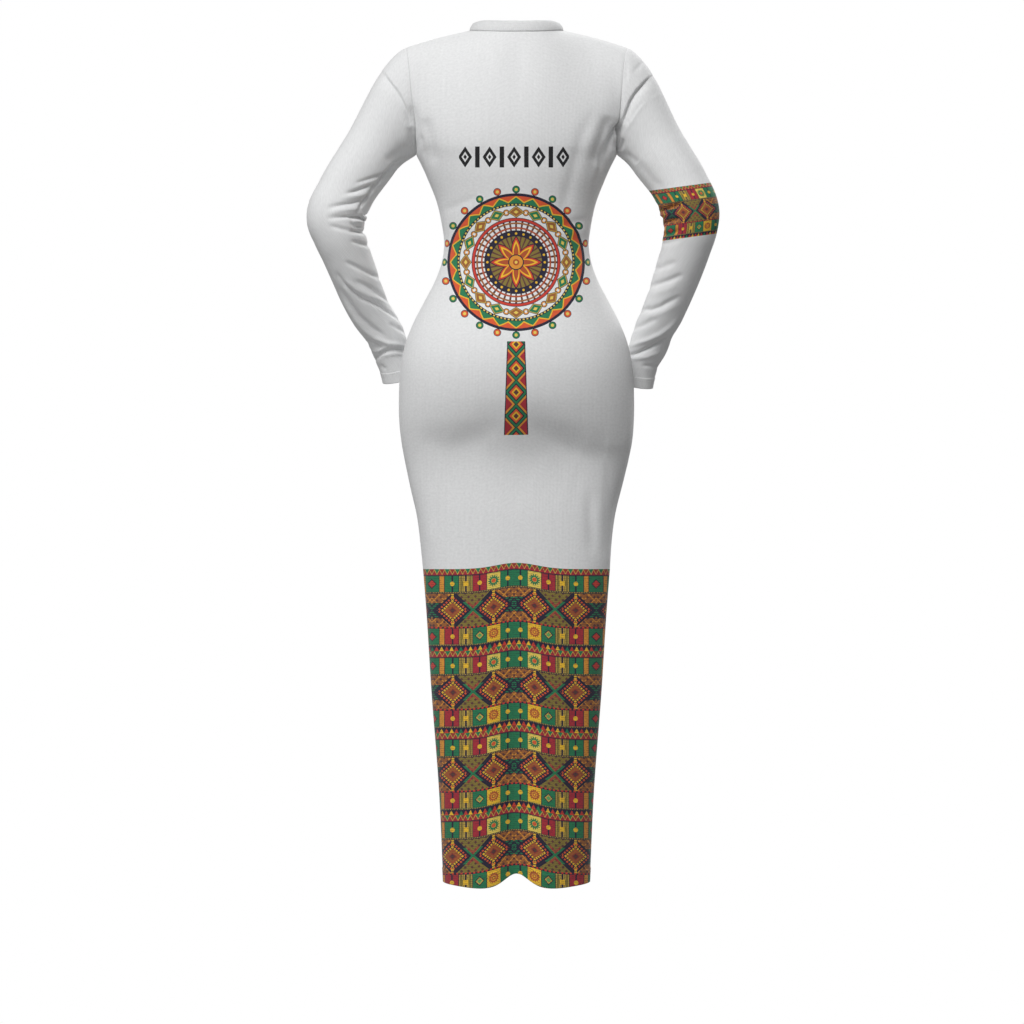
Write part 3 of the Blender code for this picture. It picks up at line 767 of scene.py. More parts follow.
class Arm:
    """The smooth form of one sleeve, from its armhole round the bent elbow to the wrist."""

    LEAVING = (0.85, 0.0, -0.50)
    PULL = 0.055
    FIRST_RINGS = (0.0, 0.012, 0.03)
    NEXT_RING = 0.055
    LOOK_AHEAD = 0.01

    def __init__(self, hand: Hand, armhole: Grid, turns: Grid, cut: Cut) -> None:
        """Sets up the axis.

        Args:
            hand: the sleeve.
            armhole: the loop that it is sewn to.
            turns: each of the loop's points as an angle round the sleeve.
            cut: the shared sizes.
        """
        self.hand = hand
        self.armhole = armhole
        self.turns = turns
        self.cut = cut
        stations = STATIONS[hand]
        self.centres = np.array([station[:3] for station in stations])
        self.sizes = np.array([station[3:] for station in stations])
        lengths = lengths_along(self.centres)
        self.length = float(lengths[-1])
        self.places = lengths / self.length

    def ring(self, share: float) -> tuple[Grid, Grid]:
        """Gives one ring of the tube, from its inner side by way of the back.

        Args:
            share: the place along the axis, 0 to 1.

        Returns:
            The ring's points, and the axis's direction there.
        """
        centre = curve_value(self.places, self.centres, share)
        wide, deep = curve_value(self.places, self.sizes, share)
        ahead = curve_value(self.places, self.centres, min(share + self.LOOK_AHEAD, 1.0))
        behind = curve_value(self.places, self.centres, max(share - self.LOOK_AHEAD, 0.0))
        tangent = (ahead - behind) / np.linalg.norm(ahead - behind)
        outward = self.hand.value * np.cross(tangent, (0.0, 1.0, 0.0))
        outward /= np.linalg.norm(outward)
        backward = self.hand.value * np.cross(outward, tangent)
        across = np.outer(np.cos(self.turns), outward) * wide
        ring = centre + np.outer(np.sin(self.turns), backward) * deep - across
        return ring, tangent

    def grid(self) -> Grid:
        """Gives all the sleeve's points, armhole ring first.

        Returns:
            Rings of points.
        """
        first_ring, tangent = self.ring(0.0)
        start_way = np.array(self.LEAVING) * (self.hand.value, 1.0, 1.0)
        start_way /= np.linalg.norm(start_way)
        pull = np.minimum(self.PULL, np.linalg.norm(first_ring - self.armhole, axis=1) / 3)[:, None]
        ts = np.concatenate((self.FIRST_RINGS, np.linspace(self.NEXT_RING, 1, self.cut.cap_rows)))
        rings = [bezier(self.armhole, start_way * pull, -tangent * pull, first_ring, t) for t in ts]
        even = np.linspace(0, 1, self.cut.tube_rows)[1:]
        shares = np.sort(np.concatenate((even, 1 - np.array(WRIST_LEVELS) / self.length)))
        return np.array(rings + [self.ring(share)[0] for share in shares])


def grid_normals(grid: Grid, closed: bool, flip: int) -> Grid:
    """Works out the outward normals of a grid.

    Args:
        grid: rows of points.
        closed: whether the last column meets the first.
        flip: 1 or -1, by which way the rows and columns turn.

    Returns:
        A unit normal for each point.
    """
    if closed:
        across = np.roll(grid, -1, axis=1) - np.roll(grid, 1, axis=1)
    else:
        across = np.gradient(grid, axis=1)
    normals = np.cross(across, np.gradient(grid, axis=0)) * flip
    return normals / np.maximum(np.linalg.norm(normals, axis=2)[:, :, None], 1e-12)


def view_place(point: tuple[float, float]) -> tuple[float, float]:
    """Turns a place on the view from behind into metres.

    Args:
        point: units to the right and down.

    Returns:
        The place's X and Z.
    """
    return (VIEW_CENTRE - point[0]) * VIEW_UNIT, (VIEW_TOP - point[1]) * VIEW_UNIT


def seen_places(points: Grid) -> Grid:
    """Finds where points show on the view from behind, or from the front for those on the front.

    Args:
        points: places in the room, along the last axis.

    Returns:
        X and Z where the sight lines meet the plane between back and front.
    """
    scale = VIEW_DISTANCE / (VIEW_DISTANCE - np.abs(points[..., 1]))
    return np.stack((points[..., 0] * scale, VIEW_LEVEL + (points[..., 2] - VIEW_LEVEL) * scale), axis=-1)


def line_distance(places: Grid, line: Grid) -> tuple[Grid, Grid, Grid]:
    """Measures how far places lie from a line of several stretches.

    Args:
        places: X and Z, one place to a row.
        line: the line's points, X and Z.

    Returns:
        Each place's distance, where it lies along the line, 0 to 1, and whether it lies on the line's
        right-hand side as seen from behind.
    """
    starts = lengths_along(line)
    nearest = np.full(len(places), np.inf)
    along = np.zeros(len(places))
    right = np.zeros(len(places), dtype=bool)
    for start, end, begin, step in zip(line, line[1:], starts, np.diff(starts)):
        way = (end - start) / step
        off = places - start
        part = np.clip(off @ way, 0.0, step)
        distance = np.linalg.norm(off - np.outer(part, way), axis=1)
        closer = distance < nearest
        nearest[closer] = distance[closer]
        along[closer] = (begin + part[closer]) / starts[-1]
        right[closer] = (way[0] * off[:, 1] - way[1] * off[:, 0] > 0)[closer]
    return nearest, along, right


def crease_depths(points: Grid, normals: Grid, kind: Kind) -> Grid:
    """Works out how far the creases pull each point in.

    Args:
        points: the points, one to a row.
        normals: their normals.
        kind: the piece's kind.

    Returns:
        A depth for each point.
    """
    depths = np.zeros(len(points))
    places = seen_places(points)
    for side, creases in ((Side.BACK, BACK_CREASES), (Side.FRONT, FRONT_CREASES)):
        facing = smoothstep((side.value * normals[:, 1] - FACING_FROM) / FACING_RISE)
        for crease in (*creases[Kind.BOTH], *creases[kind]):
            line = np.array([view_place(point) for point in crease.line])
            half_width = crease.half_width / 1000
            reach = CREASE_REACH * half_width * max(crease.spread, 1.0)
            inside = (places > line.min(axis=0) - reach) & (places < line.max(axis=0) + reach)
            near = inside.all(axis=1) & (facing > 0)
            distance, along, right = line_distance(places[near], line)
            taper = 1 - END_FADE * np.abs(2 * along - 1) ** 4
            if crease.half_width > SHADOW_WIDTH:
                taper = np.sin(np.pi * along) ** SHADOW_FADE
            widths = half_width * np.where(right, crease.spread, 1.0)
            profile = np.exp(-((distance / widths) ** crease.sharpness))
            depths[near] += facing[near] * crease.depth / 1000 * taper * profile
    return depths


def run_lengths(grid: Grid, axis: int) -> Grid:
    """Measures how far each point lies from the first one of its row or column.

    Args:
        grid: rows of points.
        axis: 0 to run up the columns, 1 to run along the rows.

    Returns:
        A length for each point.
    """
    steps = np.linalg.norm(np.diff(grid, axis=axis), axis=2)
    first = np.zeros_like(steps[:1] if axis == 0 else steps[:, :1])
    return np.concatenate((first, np.cumsum(steps, axis=axis)), axis=axis)


def seen_lengths(grid: Grid, first: int, view: tuple[int, int], tightest: float) -> Grid:
    """Measures each row as seen from behind, but nowhere squeezed below a share of its real length.

    Args:
        grid: rows of points.
        first: the column that lengths are measured from.
        view: 1 for the directions of the view that count, X and Z.
        tightest: the smallest share.

    Returns:
        A length for each point, below 0 before the first column.
    """
    seen = np.linalg.norm(np.diff(seen_places(grid), axis=1) * view, axis=2)
    lengths = np.maximum(seen, tightest * np.linalg.norm(np.diff(grid, axis=1), axis=2))
    along = np.concatenate((np.zeros_like(lengths[:, :1]), np.cumsum(lengths, axis=1)), axis=1)
    return along - along[:, first : first + 1]


@dataclass
class Cloth:
    """One piece of cloth before it becomes a mesh.

    Attributes:
        name: the piece's name, which is its node's name too.
        grid: its outer points, in rows.
        closed: whether it is a tube, so that its last column meets its first.
        flip: 1 or -1, by which way its rows and columns turn.
        kind: what it covers, for the creases.
        weave: the place of each point on the flat cloth, for its knit.
        chart: the place of each point for its prints, which are laid out as seen from behind.
        seam: how near each point is to a seam, 0 to 1.
        raised: how far a turned hem lifts each point, in metres.
        wall: the cloth's thickness.
        normals: the outward direction at each point.
    """

    name: str
    grid: Grid
    closed: bool
    flip: int
    kind: Kind
    weave: Grid
    chart: Grid
    seam: Grid
    raised: Grid
    wall: float
    normals: Grid | None = None

    def find_normals(self) -> None:
        """Works out the outward directions afresh."""
        self.normals = grid_normals(self.grid, self.closed, self.flip)

    def move_out(self, distance: Grid) -> None:
        """Moves each point along its normal by its own distance."""
        self.grid = self.grid + self.normals * distance[:, :, None]

    def crease(self) -> None:
        """Presses the creases, the seams and the turned hems into the points."""
        rows, columns = self.grid.shape[:2]
        depths = crease_depths(self.grid.reshape(-1, 3), self.normals.reshape(-1, 3), self.kind)
        self.move_out(self.raised - CUT.seam_dip * self.seam - depths.reshape(rows, columns))

    def edge_line(self, distance: float, from_top: bool) -> tuple[Grid, Grid]:
        """Finds the line at a distance from the first or the last row.

        Args:
            distance: how far from the edge, in metres.
            from_top: whether to measure from the last row.

        Returns:
            The line's points, and the outward direction at each.
        """
        grid, normals = (self.grid[::-1], self.normals[::-1]) if from_top else (self.grid, self.normals)
        away = run_lengths(grid, 0)
        columns = range(grid.shape[1])
        found = [
            [[np.interp(distance, away[:, j], values[:, j, axis]) for axis in range(3)] for j in columns]
            for values in (grid, normals)
        ]
        line, outward = joined(np.array(found)) if self.closed else found
        return np.array(line), np.array(outward)

    def build(self, material: bpy.types.Material) -> bpy.types.Object:
        """Makes the piece: a grid brought to the cloth's points, with the cloth's thickness inside it.

        Args:
            material: the cloth's finish.

        Returns:
            The piece.
        """
        grid = joined(self.grid) if self.closed else self.grid
        rows, columns = grid.shape[:2]
        mesh = bmesh.new()
        bmesh.ops.create_grid(mesh, x_segments=columns - 1, y_segments=rows - 1, size=1.0)
        layers = [mesh.loops.layers.uv.new(name) for name in ("cloth", "print")]
        places = {}
        for vert in mesh.verts:
            column = round((vert.co.x + 1) / 2 * (columns - 1))
            row = round((vert.co.y + 1) / 2 * (rows - 1))
            vert.co = grid[row, column]
            places[vert] = self.weave[row, column], self.chart[row, column]
        for face in mesh.faces:
            face.smooth = True
            for loop in face.loops:
                for layer, place in zip(layers, places[loop.vert]):
                    loop[layer].uv = place
        if self.closed:
            bmesh.ops.remove_doubles(mesh, verts=mesh.verts, dist=1e-6)
        if self.flip < 0:
            bmesh.ops.reverse_faces(mesh, faces=mesh.faces)
        piece = finished(mesh, "cloth_" + self.name, material)
        solidify = piece.modifiers.new("thickness", "SOLIDIFY")
        solidify.thickness = self.wall
        solidify.offset = -1.0
        return piece


def finished(mesh: bmesh.types.BMesh, name: str, material: bpy.types.Material) -> bpy.types.Object:
    """Turns a shaped mesh into a piece of the scene.

    Args:
        mesh: the shape, which is freed.
        name: the piece's name.
        material: its finish.

    Returns:
        The piece.
    """
    data = bpy.data.meshes.new(name)
    mesh.to_mesh(data)
    mesh.free()
    data.materials.append(material)
    piece = bpy.data.objects.new(name, data)
    bpy.context.scene.collection.objects.link(piece)
    return piece


class Dress:
    """All the cloth of the dress, brought to its final form."""

    def __init__(self, cut: Cut) -> None:
        """Lofts every piece and presses its creases.

        Args:
            cut: the shared sizes.
        """
        self.cut = cut
        self.body = Body(cut)
        self.smooth = {side: self.body.grid(side) for side in Side}
        self.pieces = [self.panel(side) for side in Side] + [self.sleeve(hand) for hand in Hand]
        self.find_normals()
        for piece in self.pieces:
            piece.crease()
        self.find_normals()
        band = self.neck_band()
        band.find_normals()
        band.move_out(np.full(band.grid.shape[:2], BAND.proud))
        self.pieces.append(band)

    def panel(self, side: Side) -> Cloth:
        """Lofts the back or the front.

        Args:
            side: the panel.

        Returns:
            The piece.
        """
        grid = self.smooth[side]
        middle = grid.shape[1] // 2
        along = run_lengths(grid, 1)
        level = seen_places(grid)[:, :, 1]
        fade = smoothstep((LIFT_FROM - level) / LIFT_FADE) * bell(grid[:, :, 0], LIFT_HALF_WIDTH)
        lift = (LIFTS[side].at_top + LIFTS[side].growth * (ORNAMENT_TOP - level)) * fade
        chart = np.stack((seen_lengths(grid, middle, (1, 0), TIGHTEST[Kind.BODY]), level - lift), axis=2)
        up = run_lengths(grid, 0)
        weave = np.stack((along - along[:, middle : middle + 1], up), axis=2)
        to_sides = np.minimum(along, along[:, -1:] - along)
        to_top = up[-1:] - up
        seam = np.maximum(bell(to_sides, self.cut.seam_reach), bell(to_top, self.cut.seam_reach))
        raised = self.cut.turned(up, self.cut.hem_turn)
        name = "back_panel" if side is Side.BACK else "front_panel"
        return Cloth(name, grid, False, -side.value, Kind.BODY, weave, chart, seam, raised, self.cut.wall)

    def sleeve(self, hand: Hand) -> Cloth:
        """Lofts one sleeve.

        Args:
            hand: the sleeve.

        Returns:
            The piece.
        """
        arm = Arm(hand, self.body.armhole(self.smooth, hand), self.body.turns(), self.cut)
        grid = arm.grid()
        ring = joined(grid)
        around = run_lengths(ring, 1)
        outer = int(np.argmin(np.abs(self.body.turns() - math.pi)))
        level = seen_places(ring) @ np.array((-SLEEVE_TILT[hand], 1.0))
        chart = np.stack((seen_lengths(ring, outer, (1, 1), TIGHTEST[Kind.SLEEVE]), level), axis=2)
        weave = np.stack((around - around[:, outer : outer + 1], run_lengths(ring, 0)), axis=2)
        from_cap = run_lengths(grid, 0)
        seam = bell(from_cap, self.cut.seam_reach)
        raised = self.cut.turned(from_cap[-1:] - from_cap, self.cut.cuff_turn)
        name = "left_sleeve" if hand is Hand.LEFT else "right_sleeve"
        return Cloth(name, grid, True, hand.value, Kind.SLEEVE, weave, chart, seam, raised, self.cut.wall)

    def neck_band(self) -> Cloth:
        """Lofts the rib band from the neckline up to its folded edge.

        Returns:
            The piece.
        """
        back, front = (piece.grid[-1, self.body.at_neck] for piece in self.pieces[:2])
        neckline = np.concatenate((back, front[::-1][1:-1]))
        out = neckline * (1.0, 1.0, 0.0)
        out /= np.linalg.norm(out, axis=1)[:, None]
        levels = np.linspace(0, 1, BAND.rows)
        drop = neckline[:, 2].max() - neckline[:, 2]
        rise = (BAND.height * (1 - BAND.ease * bell(drop, BAND.ease_drop)))[:, None] * (0.0, 0.0, 1.0)
        grid = np.array([neckline - out * BAND.lean * level**2 + rise * level for level in levels])
        weave = np.stack((run_lengths(joined(grid), 1), run_lengths(joined(grid), 0)), axis=2)
        seam = bell(run_lengths(grid, 0), self.cut.seam_reach)
        flat = np.zeros_like(seam)
        return Cloth("neck_band", grid, True, -1, Kind.BODY, weave, weave, seam, flat, BAND.wall)

    def find_normals(self) -> None:
        """Works out the outward directions, a common one where pieces meet, so that they stay together."""
        sums: dict[tuple[float, float, float], Grid] = {}
        edges = []
        for piece in self.pieces:
            piece.find_normals()
            rows, columns = piece.grid.shape[:2]
            edge = {(0, j) for j in range(columns)} | {(rows - 1, j) for j in range(columns)}
            if not piece.closed:
                edge |= {(i, j) for i in range(rows) for j in (0, columns - 1)}
            for place in edge:
                key = tuple(np.round(piece.grid[place], 6))
                sums[key] = sums.get(key, 0) + piece.normals[place]
                edges.append((piece, place, key))
        for piece, place, key in edges:
            piece.normals[place] = sums[key] / np.linalg.norm(sums[key])


class Field:
    """A number that varies over the cloth, worked out by Math nodes."""

    def __init__(self, tree: bpy.types.NodeTree, socket: bpy.types.NodeSocket) -> None:
        """Wraps a socket.

        Args:
            tree: the nodes that it belongs to.
            socket: the output that gives the number.
        """
        self.tree = tree
        self.socket = socket

    def math(self, operation: str, *others: "Field | float") -> "Field":
        """Adds a Math node.

        Args:
            operation: the node's operation.
            others: its further inputs.

        Returns:
            The result.
        """
        node = self.tree.nodes.new("ShaderNodeMath")
        node.operation = operation
        for slot, value in zip(node.inputs, (self, *others)):
            if isinstance(value, Field):
                self.tree.links.new(value.socket, slot)
            else:
                slot.default_value = value
        return Field(self.tree, node.outputs[0])

    def __add__(self, other: "Field | float") -> "Field":
        """Adds."""
        return self.math("ADD", other)

    def __sub__(self, other: "Field | float") -> "Field":
        """Takes away."""
        return self.math("SUBTRACT", other)

    def __mul__(self, other: "Field | float") -> "Field":
        """Multiplies."""
        return self.math("MULTIPLY", other)

    def __abs__(self) -> "Field":
        """Drops the sign."""
        return self.math("ABSOLUTE")

    def __lt__(self, other: "Field | float") -> "Field":
        """Gives 1 where it is smaller, and 0 elsewhere."""
        return self.math("LESS_THAN", other)

    def __gt__(self, other: "Field | float") -> "Field":
        """Gives 1 where it is larger, and 0 elsewhere."""
        return self.math("GREATER_THAN", other)

    def __and__(self, other: "Field") -> "Field":
        """Gives 1 where both are 1."""
        return self.math("MULTIPLY", other)

    def __or__(self, other: "Field") -> "Field":
        """Gives 1 where either is 1."""
        return self.math("MAXIMUM", other)

    def near(self, middle: float, reach: float) -> "Field":
        """Gives 1 within a reach of a number."""
        return self.math("COMPARE", middle, reach)

    def fold(self, half_period: float) -> "Field":
        """Gives a zigzag: 0 at each whole period, and the half period midway between."""
        return self.math("PINGPONG", half_period)

    def odd(self, period: float) -> "Field":
        """Gives 1 nearest to the odd multiples of a period, and 0 nearest to the even ones."""
        return self.fold(period) > period / 2

    def length(self, other: "Field") -> "Field":
        """Gives the distance from the middle, with the other field at right angles."""
        return (self * self + other * other).math("SQRT")

    def noise(self, other: "Field", wide: float, tall: float, seed: float) -> "Field":
        """Gives soft random patches of a given size, from 0 to 1.

        Args:
            other: the field at right angles.
            wide: the patches' size along this field.
            tall: their size along the other one.
            seed: a number that sets one pattern apart from the next.

        Returns:
            The patches' height.
        """
        place = self.tree.nodes.new("ShaderNodeCombineXYZ")
        self.tree.links.new((self * (1 / wide)).socket, place.inputs[0])
        self.tree.links.new((other * (1 / tall)).socket, place.inputs[1])
        place.inputs[2].default_value = seed
        noise = self.tree.nodes.new("ShaderNodeTexNoise")
        noise.inputs["Scale"].default_value = 1.0
        noise.inputs["Detail"].default_value = 2.0
        self.tree.links.new(place.outputs[0], noise.inputs["Vector"])
        return Field(self.tree, noise.outputs[0])


class Paint:
    """A colour that varies over the cloth, built up in layers."""

    def __init__(self, tree: bpy.types.NodeTree, colour: "Colour | bpy.types.NodeSocket") -> None:
        """Starts from one colour.

        Args:
            tree: the nodes that it belongs to.
            colour: a colour, or an output that gives one.
        """
        self.tree = tree
        self.colour = colour

    @classmethod
    def plain(cls, tree: bpy.types.NodeTree, colour: Colour) -> "Paint":
        """Starts from one flat colour.

        Args:
            tree: the nodes that it belongs to.
            colour: the colour.

        Returns:
            The paint.
        """
        source = tree.nodes.new("ShaderNodeRGB").outputs[0]
        source.default_value = (*colour, 1.0)
        return cls(tree, source)

    @classmethod
    def stripes(cls, place: Field, end: float, stops: "Sequence[tuple[float, Ink]]") -> "Paint":
        """Starts from stripes of flat colour.

        Args:
            place: the place across the stripes.
            end: where the last one ends.
            stops: where each stripe starts, and its ink.

        Returns:
            The paint.
        """
        ramp = place.tree.nodes.new("ShaderNodeValToRGB")
        ramp.color_ramp.interpolation = "CONSTANT"
        elements = ramp.color_ramp.elements
        elements.remove(elements[1])
        for start, ink in stops:
            element = elements.new(start / end) if start else elements[0]
            element.position = start / end
            element.color = (*ink.value, 1.0)
        place.tree.links.new((place * (1 / end)).socket, ramp.inputs[0])
        return cls(place.tree, ramp.outputs["Color"])

    def feed(self, colour: "Ink | Paint | Colour | bpy.types.NodeSocket", slot: bpy.types.NodeSocket) -> None:
        """Gives a colour to a node's input.

        Args:
            colour: the colour, in any form.
            slot: the input.
        """
        colour = colour.colour if isinstance(colour, Paint) else colour
        colour = colour.value if isinstance(colour, Ink) else colour
        if isinstance(colour, tuple):
            slot.default_value = (*colour, 1.0)
        else:
            self.tree.links.new(colour, slot)

    def lay(self, where: Field, over: "Ink | Paint | Colour") -> None:
        """Lays another colour on top.

        Args:
            where: 1 where it goes, 0 elsewhere.
            over: the other colour.
        """
        mix = self.tree.nodes.new("ShaderNodeMix")
        mix.data_type = "RGBA"
        self.tree.links.new(where.socket, mix.inputs[0])
        self.feed(self.colour, mix.inputs[6])
        self.feed(over, mix.inputs[7])
        self.colour = mix.outputs[2]

    def nest(self, size: Field, *layers: "tuple[float, Ink]") -> None:
        """Lays one shape inside the next.

        Args:
            size: how large a shape has to be to reach each place.
            layers: each shape's size and ink, the largest first.
        """
        for reach, ink in layers:
            self.lay(size < reach, ink)

    def shade(self, strength: Field) -> None:
        """Makes the colour lighter or darker.

        Args:
            strength: what to multiply it by.
        """
        scale = self.tree.nodes.new("ShaderNodeVectorMath")
        scale.operation = "SCALE"
        self.tree.links.new(self.colour, scale.inputs[0])
        self.tree.links.new(strength.socket, scale.inputs["Scale"])
        self.colour = scale.outputs[0]


def new_finish(name: str) -> tuple[bpy.types.Material, bpy.types.NodeTree, bpy.types.Node]:
    """Starts a finish.

    Args:
        name: its name.

    Returns:
        The finish, its nodes, and its shader.
    """
    material = bpy.data.materials.new(name)
    material.use_nodes = True
    return material, material.node_tree, material.node_tree.nodes["Principled BSDF"]


class CellRow(NamedTuple):
    """A row of square cells: its middle, and the inks that differ from row to row."""

    centre: float
    sun: Ink
    inner: Ink
    outer: Ink

    def stops(self) -> tuple[tuple[float, Ink], ...]:
        """Gives where each cell and each line between two cells starts.

        Returns:
            The starts with their inks.
        """
        return (
            (0.0, Ink.GREEN), (13.2, Ink.NAVY), (13.8, self.sun), (26.9, Ink.NAVY), (27.5, self.inner),
            (41.0, Ink.NAVY), (41.6, Ink.OLIVE), (54.8, Ink.NAVY), (55.3, self.outer), (69.2, Ink.NAVY),
            (69.9, Ink.ORANGE), (74.2, Ink.NAVY), (75.0, Ink.GREEN),
        )  # fmt: skip


@dataclass(frozen=True)
class BandedOrnament:
    """The ornament of the hem and the sleeve: rows of square cells with a wide row of diamonds between them.

    It is charted in units, of 1.6 mm on the hem. Across, it is mirrored at every mirror length, and down, it
    repeats. The numbers below are places and sizes on that chart, and in DIAMOND they are shares of a
    diamond's half size.
    """

    mirror: float = 82.2
    repeat: float = 81.6
    tooth: float = 5.14
    row_half: float = 7.85
    middle: float = 41.1
    middle_half: float = 16.6
    diamond: tuple[float, float] = (17.4, 16.2)
    sun: float = 20.4
    dot: float = 34.4
    bars: float = 48.2

    BANDS = (
        (0.0, Ink.RED), (5.9, Ink.NAVY), (6.9, Ink.GREEN), (22.6, Ink.NAVY), (24.5, Ink.OLIVE),
        (57.6, Ink.NAVY), (59.4, Ink.GREEN), (75.0, Ink.NAVY),
    )  # fmt: skip
    ROWS = (
        CellRow(14.75, Ink.STRAW, Ink.RED, Ink.GREEN),
        CellRow(67.2, Ink.YELLOW, Ink.GREEN, Ink.RED),
    )
    DIAMOND = (
        (0.0, Ink.EARTH), (0.16, Ink.MAROON), (0.24, Ink.BROWN), (0.34, Ink.RUST), (0.42, Ink.BROWN),
        (0.50, Ink.YELLOW), (0.65, Ink.NAVY), (0.74, Ink.FLAME), (0.90, Ink.NAVY), (1.07, Ink.OLIVE),
    )  # fmt: skip

    def group(self) -> bpy.types.NodeTree:
        """Builds the ornament as a node group, once.

        Returns:
            The group, which turns a place across and down into a colour.
        """
        made = bpy.data.node_groups.get("banded_ornament")
        if made:
            return made
        tree = bpy.data.node_groups.new("banded_ornament", "ShaderNodeTree")
        for name in ("Across", "Down"):
            tree.interface.new_socket(name, in_out="INPUT", socket_type="NodeSocketFloat")
        tree.interface.new_socket("Colour", in_out="OUTPUT", socket_type="NodeSocketColor")
        given = tree.nodes.new("NodeGroupInput")
        result = tree.nodes.new("NodeGroupOutput")
        place = Field(tree, given.outputs["Across"])
        across = place.fold(self.mirror)
        down = Field(tree, given.outputs["Down"]).math("FLOORED_MODULO", self.repeat)
        paint = Paint.stripes(down, self.repeat, self.BANDS)
        self.diamonds(paint, across, down)
        for row in self.ROWS:
            self.cells(paint, across, down, row)
        self.edgings(paint, across, down)
        thread = down.fold(0.95) < 0.34
        paint.lay((thread & (place.noise(down, 2.6, 1.3, seed=3.0) > 0.49)) * 0.50, Ink.NAVY)
        tree.links.new(paint.colour, result.inputs["Colour"])
        return tree

    def cells(self, paint: Paint, across: Field, down: Field, row: CellRow) -> None:
        """Lays one row of square cells with their figures.

        Args:
            paint: the colour so far.
            across: the place across the pattern.
            down: the place down the pattern.
            row: the row.
        """
        cells = Paint.stripes(across, self.mirror, row.stops())
        first = row is self.ROWS[0]
        off = abs(down - row.centre)
        stems = abs(across - 6.3).math("MINIMUM", abs(across - 61.8))
        if first:
            stems = stems.math("MINIMUM", abs(across - self.dot))
        cells.lay(stems < 0.75, Ink.NAVY)
        cells.lay(stems.length(off) < 2.25, Ink.YELLOW)
        bar = abs(across - self.bars)
        cells.lay(bar.near(3.0, 0.35) & (off > 2.6), Ink.SAND)
        cells.lay(bar.near(6.1, 0.35), Ink.SAND)
        cells.lay(bar < 1.9, Ink.SAND)
        cells.lay((bar < 2.6) & (off < 2.6), Ink.YELLOW)
        cells.lay((bar < 0.95) & (off > 2.2), Ink.NAVY)
        beside = across - self.sun
        radius = beside.length(off)
        rays = beside.math("ARCTAN2", down - row.centre).fold(math.pi / 14) * (14 / math.pi)
        if first:
            cells.lay(radius < rays * 2.6 + 3.6, Ink.GREEN)
            cells.nest(radius, (2.5, Ink.SAND), (1.9, Ink.FLAME))
        else:
            cells.lay(radius < rays * 1.7 + 3.9, Ink.RUST)
            cells.nest(radius, (3.1, Ink.ORANGE), (1.8, Ink.RUST), (0.9, Ink.YELLOW))
            cells.nest(abs(across - self.dot) + off, (4.9, Ink.NAVY), (3.8, Ink.SAND), (2.4, Ink.LEAF))
        cells.nest(abs(across - self.mirror) + off, (5.0, Ink.NAVY), (3.8, Ink.SCARLET))
        paint.lay(down.near(row.centre, self.row_half), cells)

    def diamonds(self, paint: Paint, across: Field, down: Field) -> None:
        """Lays the wide row of nested diamonds, with crossed arms and hatching between them.

        Args:
            paint: the colour so far.
            across: the place across the pattern.
            down: the place down the pattern.
        """
        beside = across.fold(self.mirror / 2)
        inner = beside < self.mirror / 4
        outer = beside > self.mirror / 4
        over = abs(beside - self.mirror / 4) * (1 / self.diamond[0])
        away = abs(down - self.middle) * (1 / self.diamond[1])
        ring = over + away
        step = over - away
        field = Paint.stripes(ring, 2.4, self.DIAMOND)
        field.lay((step.fold(0.110) < 0.046) & ring.near(0.580, 0.080), Ink.EARTH)
        field.lay((step.fold(0.134) < 0.056) & ring.near(0.825, 0.090), Ink.NAVY)
        field.lay((over < 0.075) & ring.near(0.90, 0.19) & (away.fold(0.075) > 0.026), Ink.YELLOW)
        beyond = ring > 1.07
        rising = (across + down).fold(3.5)
        falling = (across - down).fold(3.5)
        lines = ((across + down - 0.8).fold(5.0) < 0.62) | ((across - down + 0.8).fold(5.0) < 0.62)
        field.lay(beyond & inner, Ink.BROWN)
        field.lay(beyond & inner & lines, Ink.ORANGE)
        field.lay(beyond & (rising > 1.9) & (falling > 1.9), Ink.EARTH)
        stripes = beyond & inner & (ring < 1.56) & (away < 0.47)
        field.lay(stripes, Ink.NAVY)
        dashes = (across + abs(down - self.middle)).fold(2.7) > 1.0
        field.lay(stripes & (down.fold(1.05) > 0.42) & dashes, Ink.GREEN)
        field.lay(outer & ring.near(1.37, 0.09) & (over > 0.86) & (step.fold(0.067) > 0.022), Ink.RED)
        arms = outer & ring.near(1.165, 0.085)
        field.lay(arms, Ink.NAVY)
        field.lay(arms & (away < 0.50), Ink.GREEN)
        paint.lay(down.near(self.middle, self.middle_half), field)

    def edgings(self, paint: Paint, across: Field, down: Field) -> None:
        """Lays the zigzag, the dotted lines and the row of single triangles.

        Args:
            paint: the colour so far.
            across: the place across the pattern.
            down: the place down the pattern.
        """
        line = across.fold(self.tooth / 2) * -1.83 + 5.3
        inside = down < 5.9
        paint.lay(inside & (down < line), Ink.MAROON)
        paint.lay(inside & (down < line) & across.odd(self.tooth), Ink.GREEN)
        paint.lay(inside & ((down - line).near(0.0, 0.62)), Ink.SAND)
        dots = across.fold(0.85) > 0.50
        for level in (23.5, 75.8):
            paint.lay(dots & down.near(level, 0.48), Ink.SAND)
        paint.lay((across.fold(2.1) > 1.05) & down.near(58.2, 0.85), Ink.SCARLET)
        base = (across.fold(2.42) < down * 0.52 - 40.1) & (down > 77.1)
        paint.lay(base, Ink.SCARLET)
        paint.lay(base & across.odd(4.84), Ink.GREEN)
        paint.lay(base & across.odd(4.84) & (across + 4.84).odd(14.52), Ink.YELLOW)


class Print(Protocol):
    """Anything that is printed on a piece."""

    def lay(self, paint: Paint, across: Field, up: Field) -> None:
        """Lays the print on the cloth.

        Args:
            paint: the cloth's colour so far.
            across: the place across the piece, in metres.
            up: the place up the piece, in metres.
        """


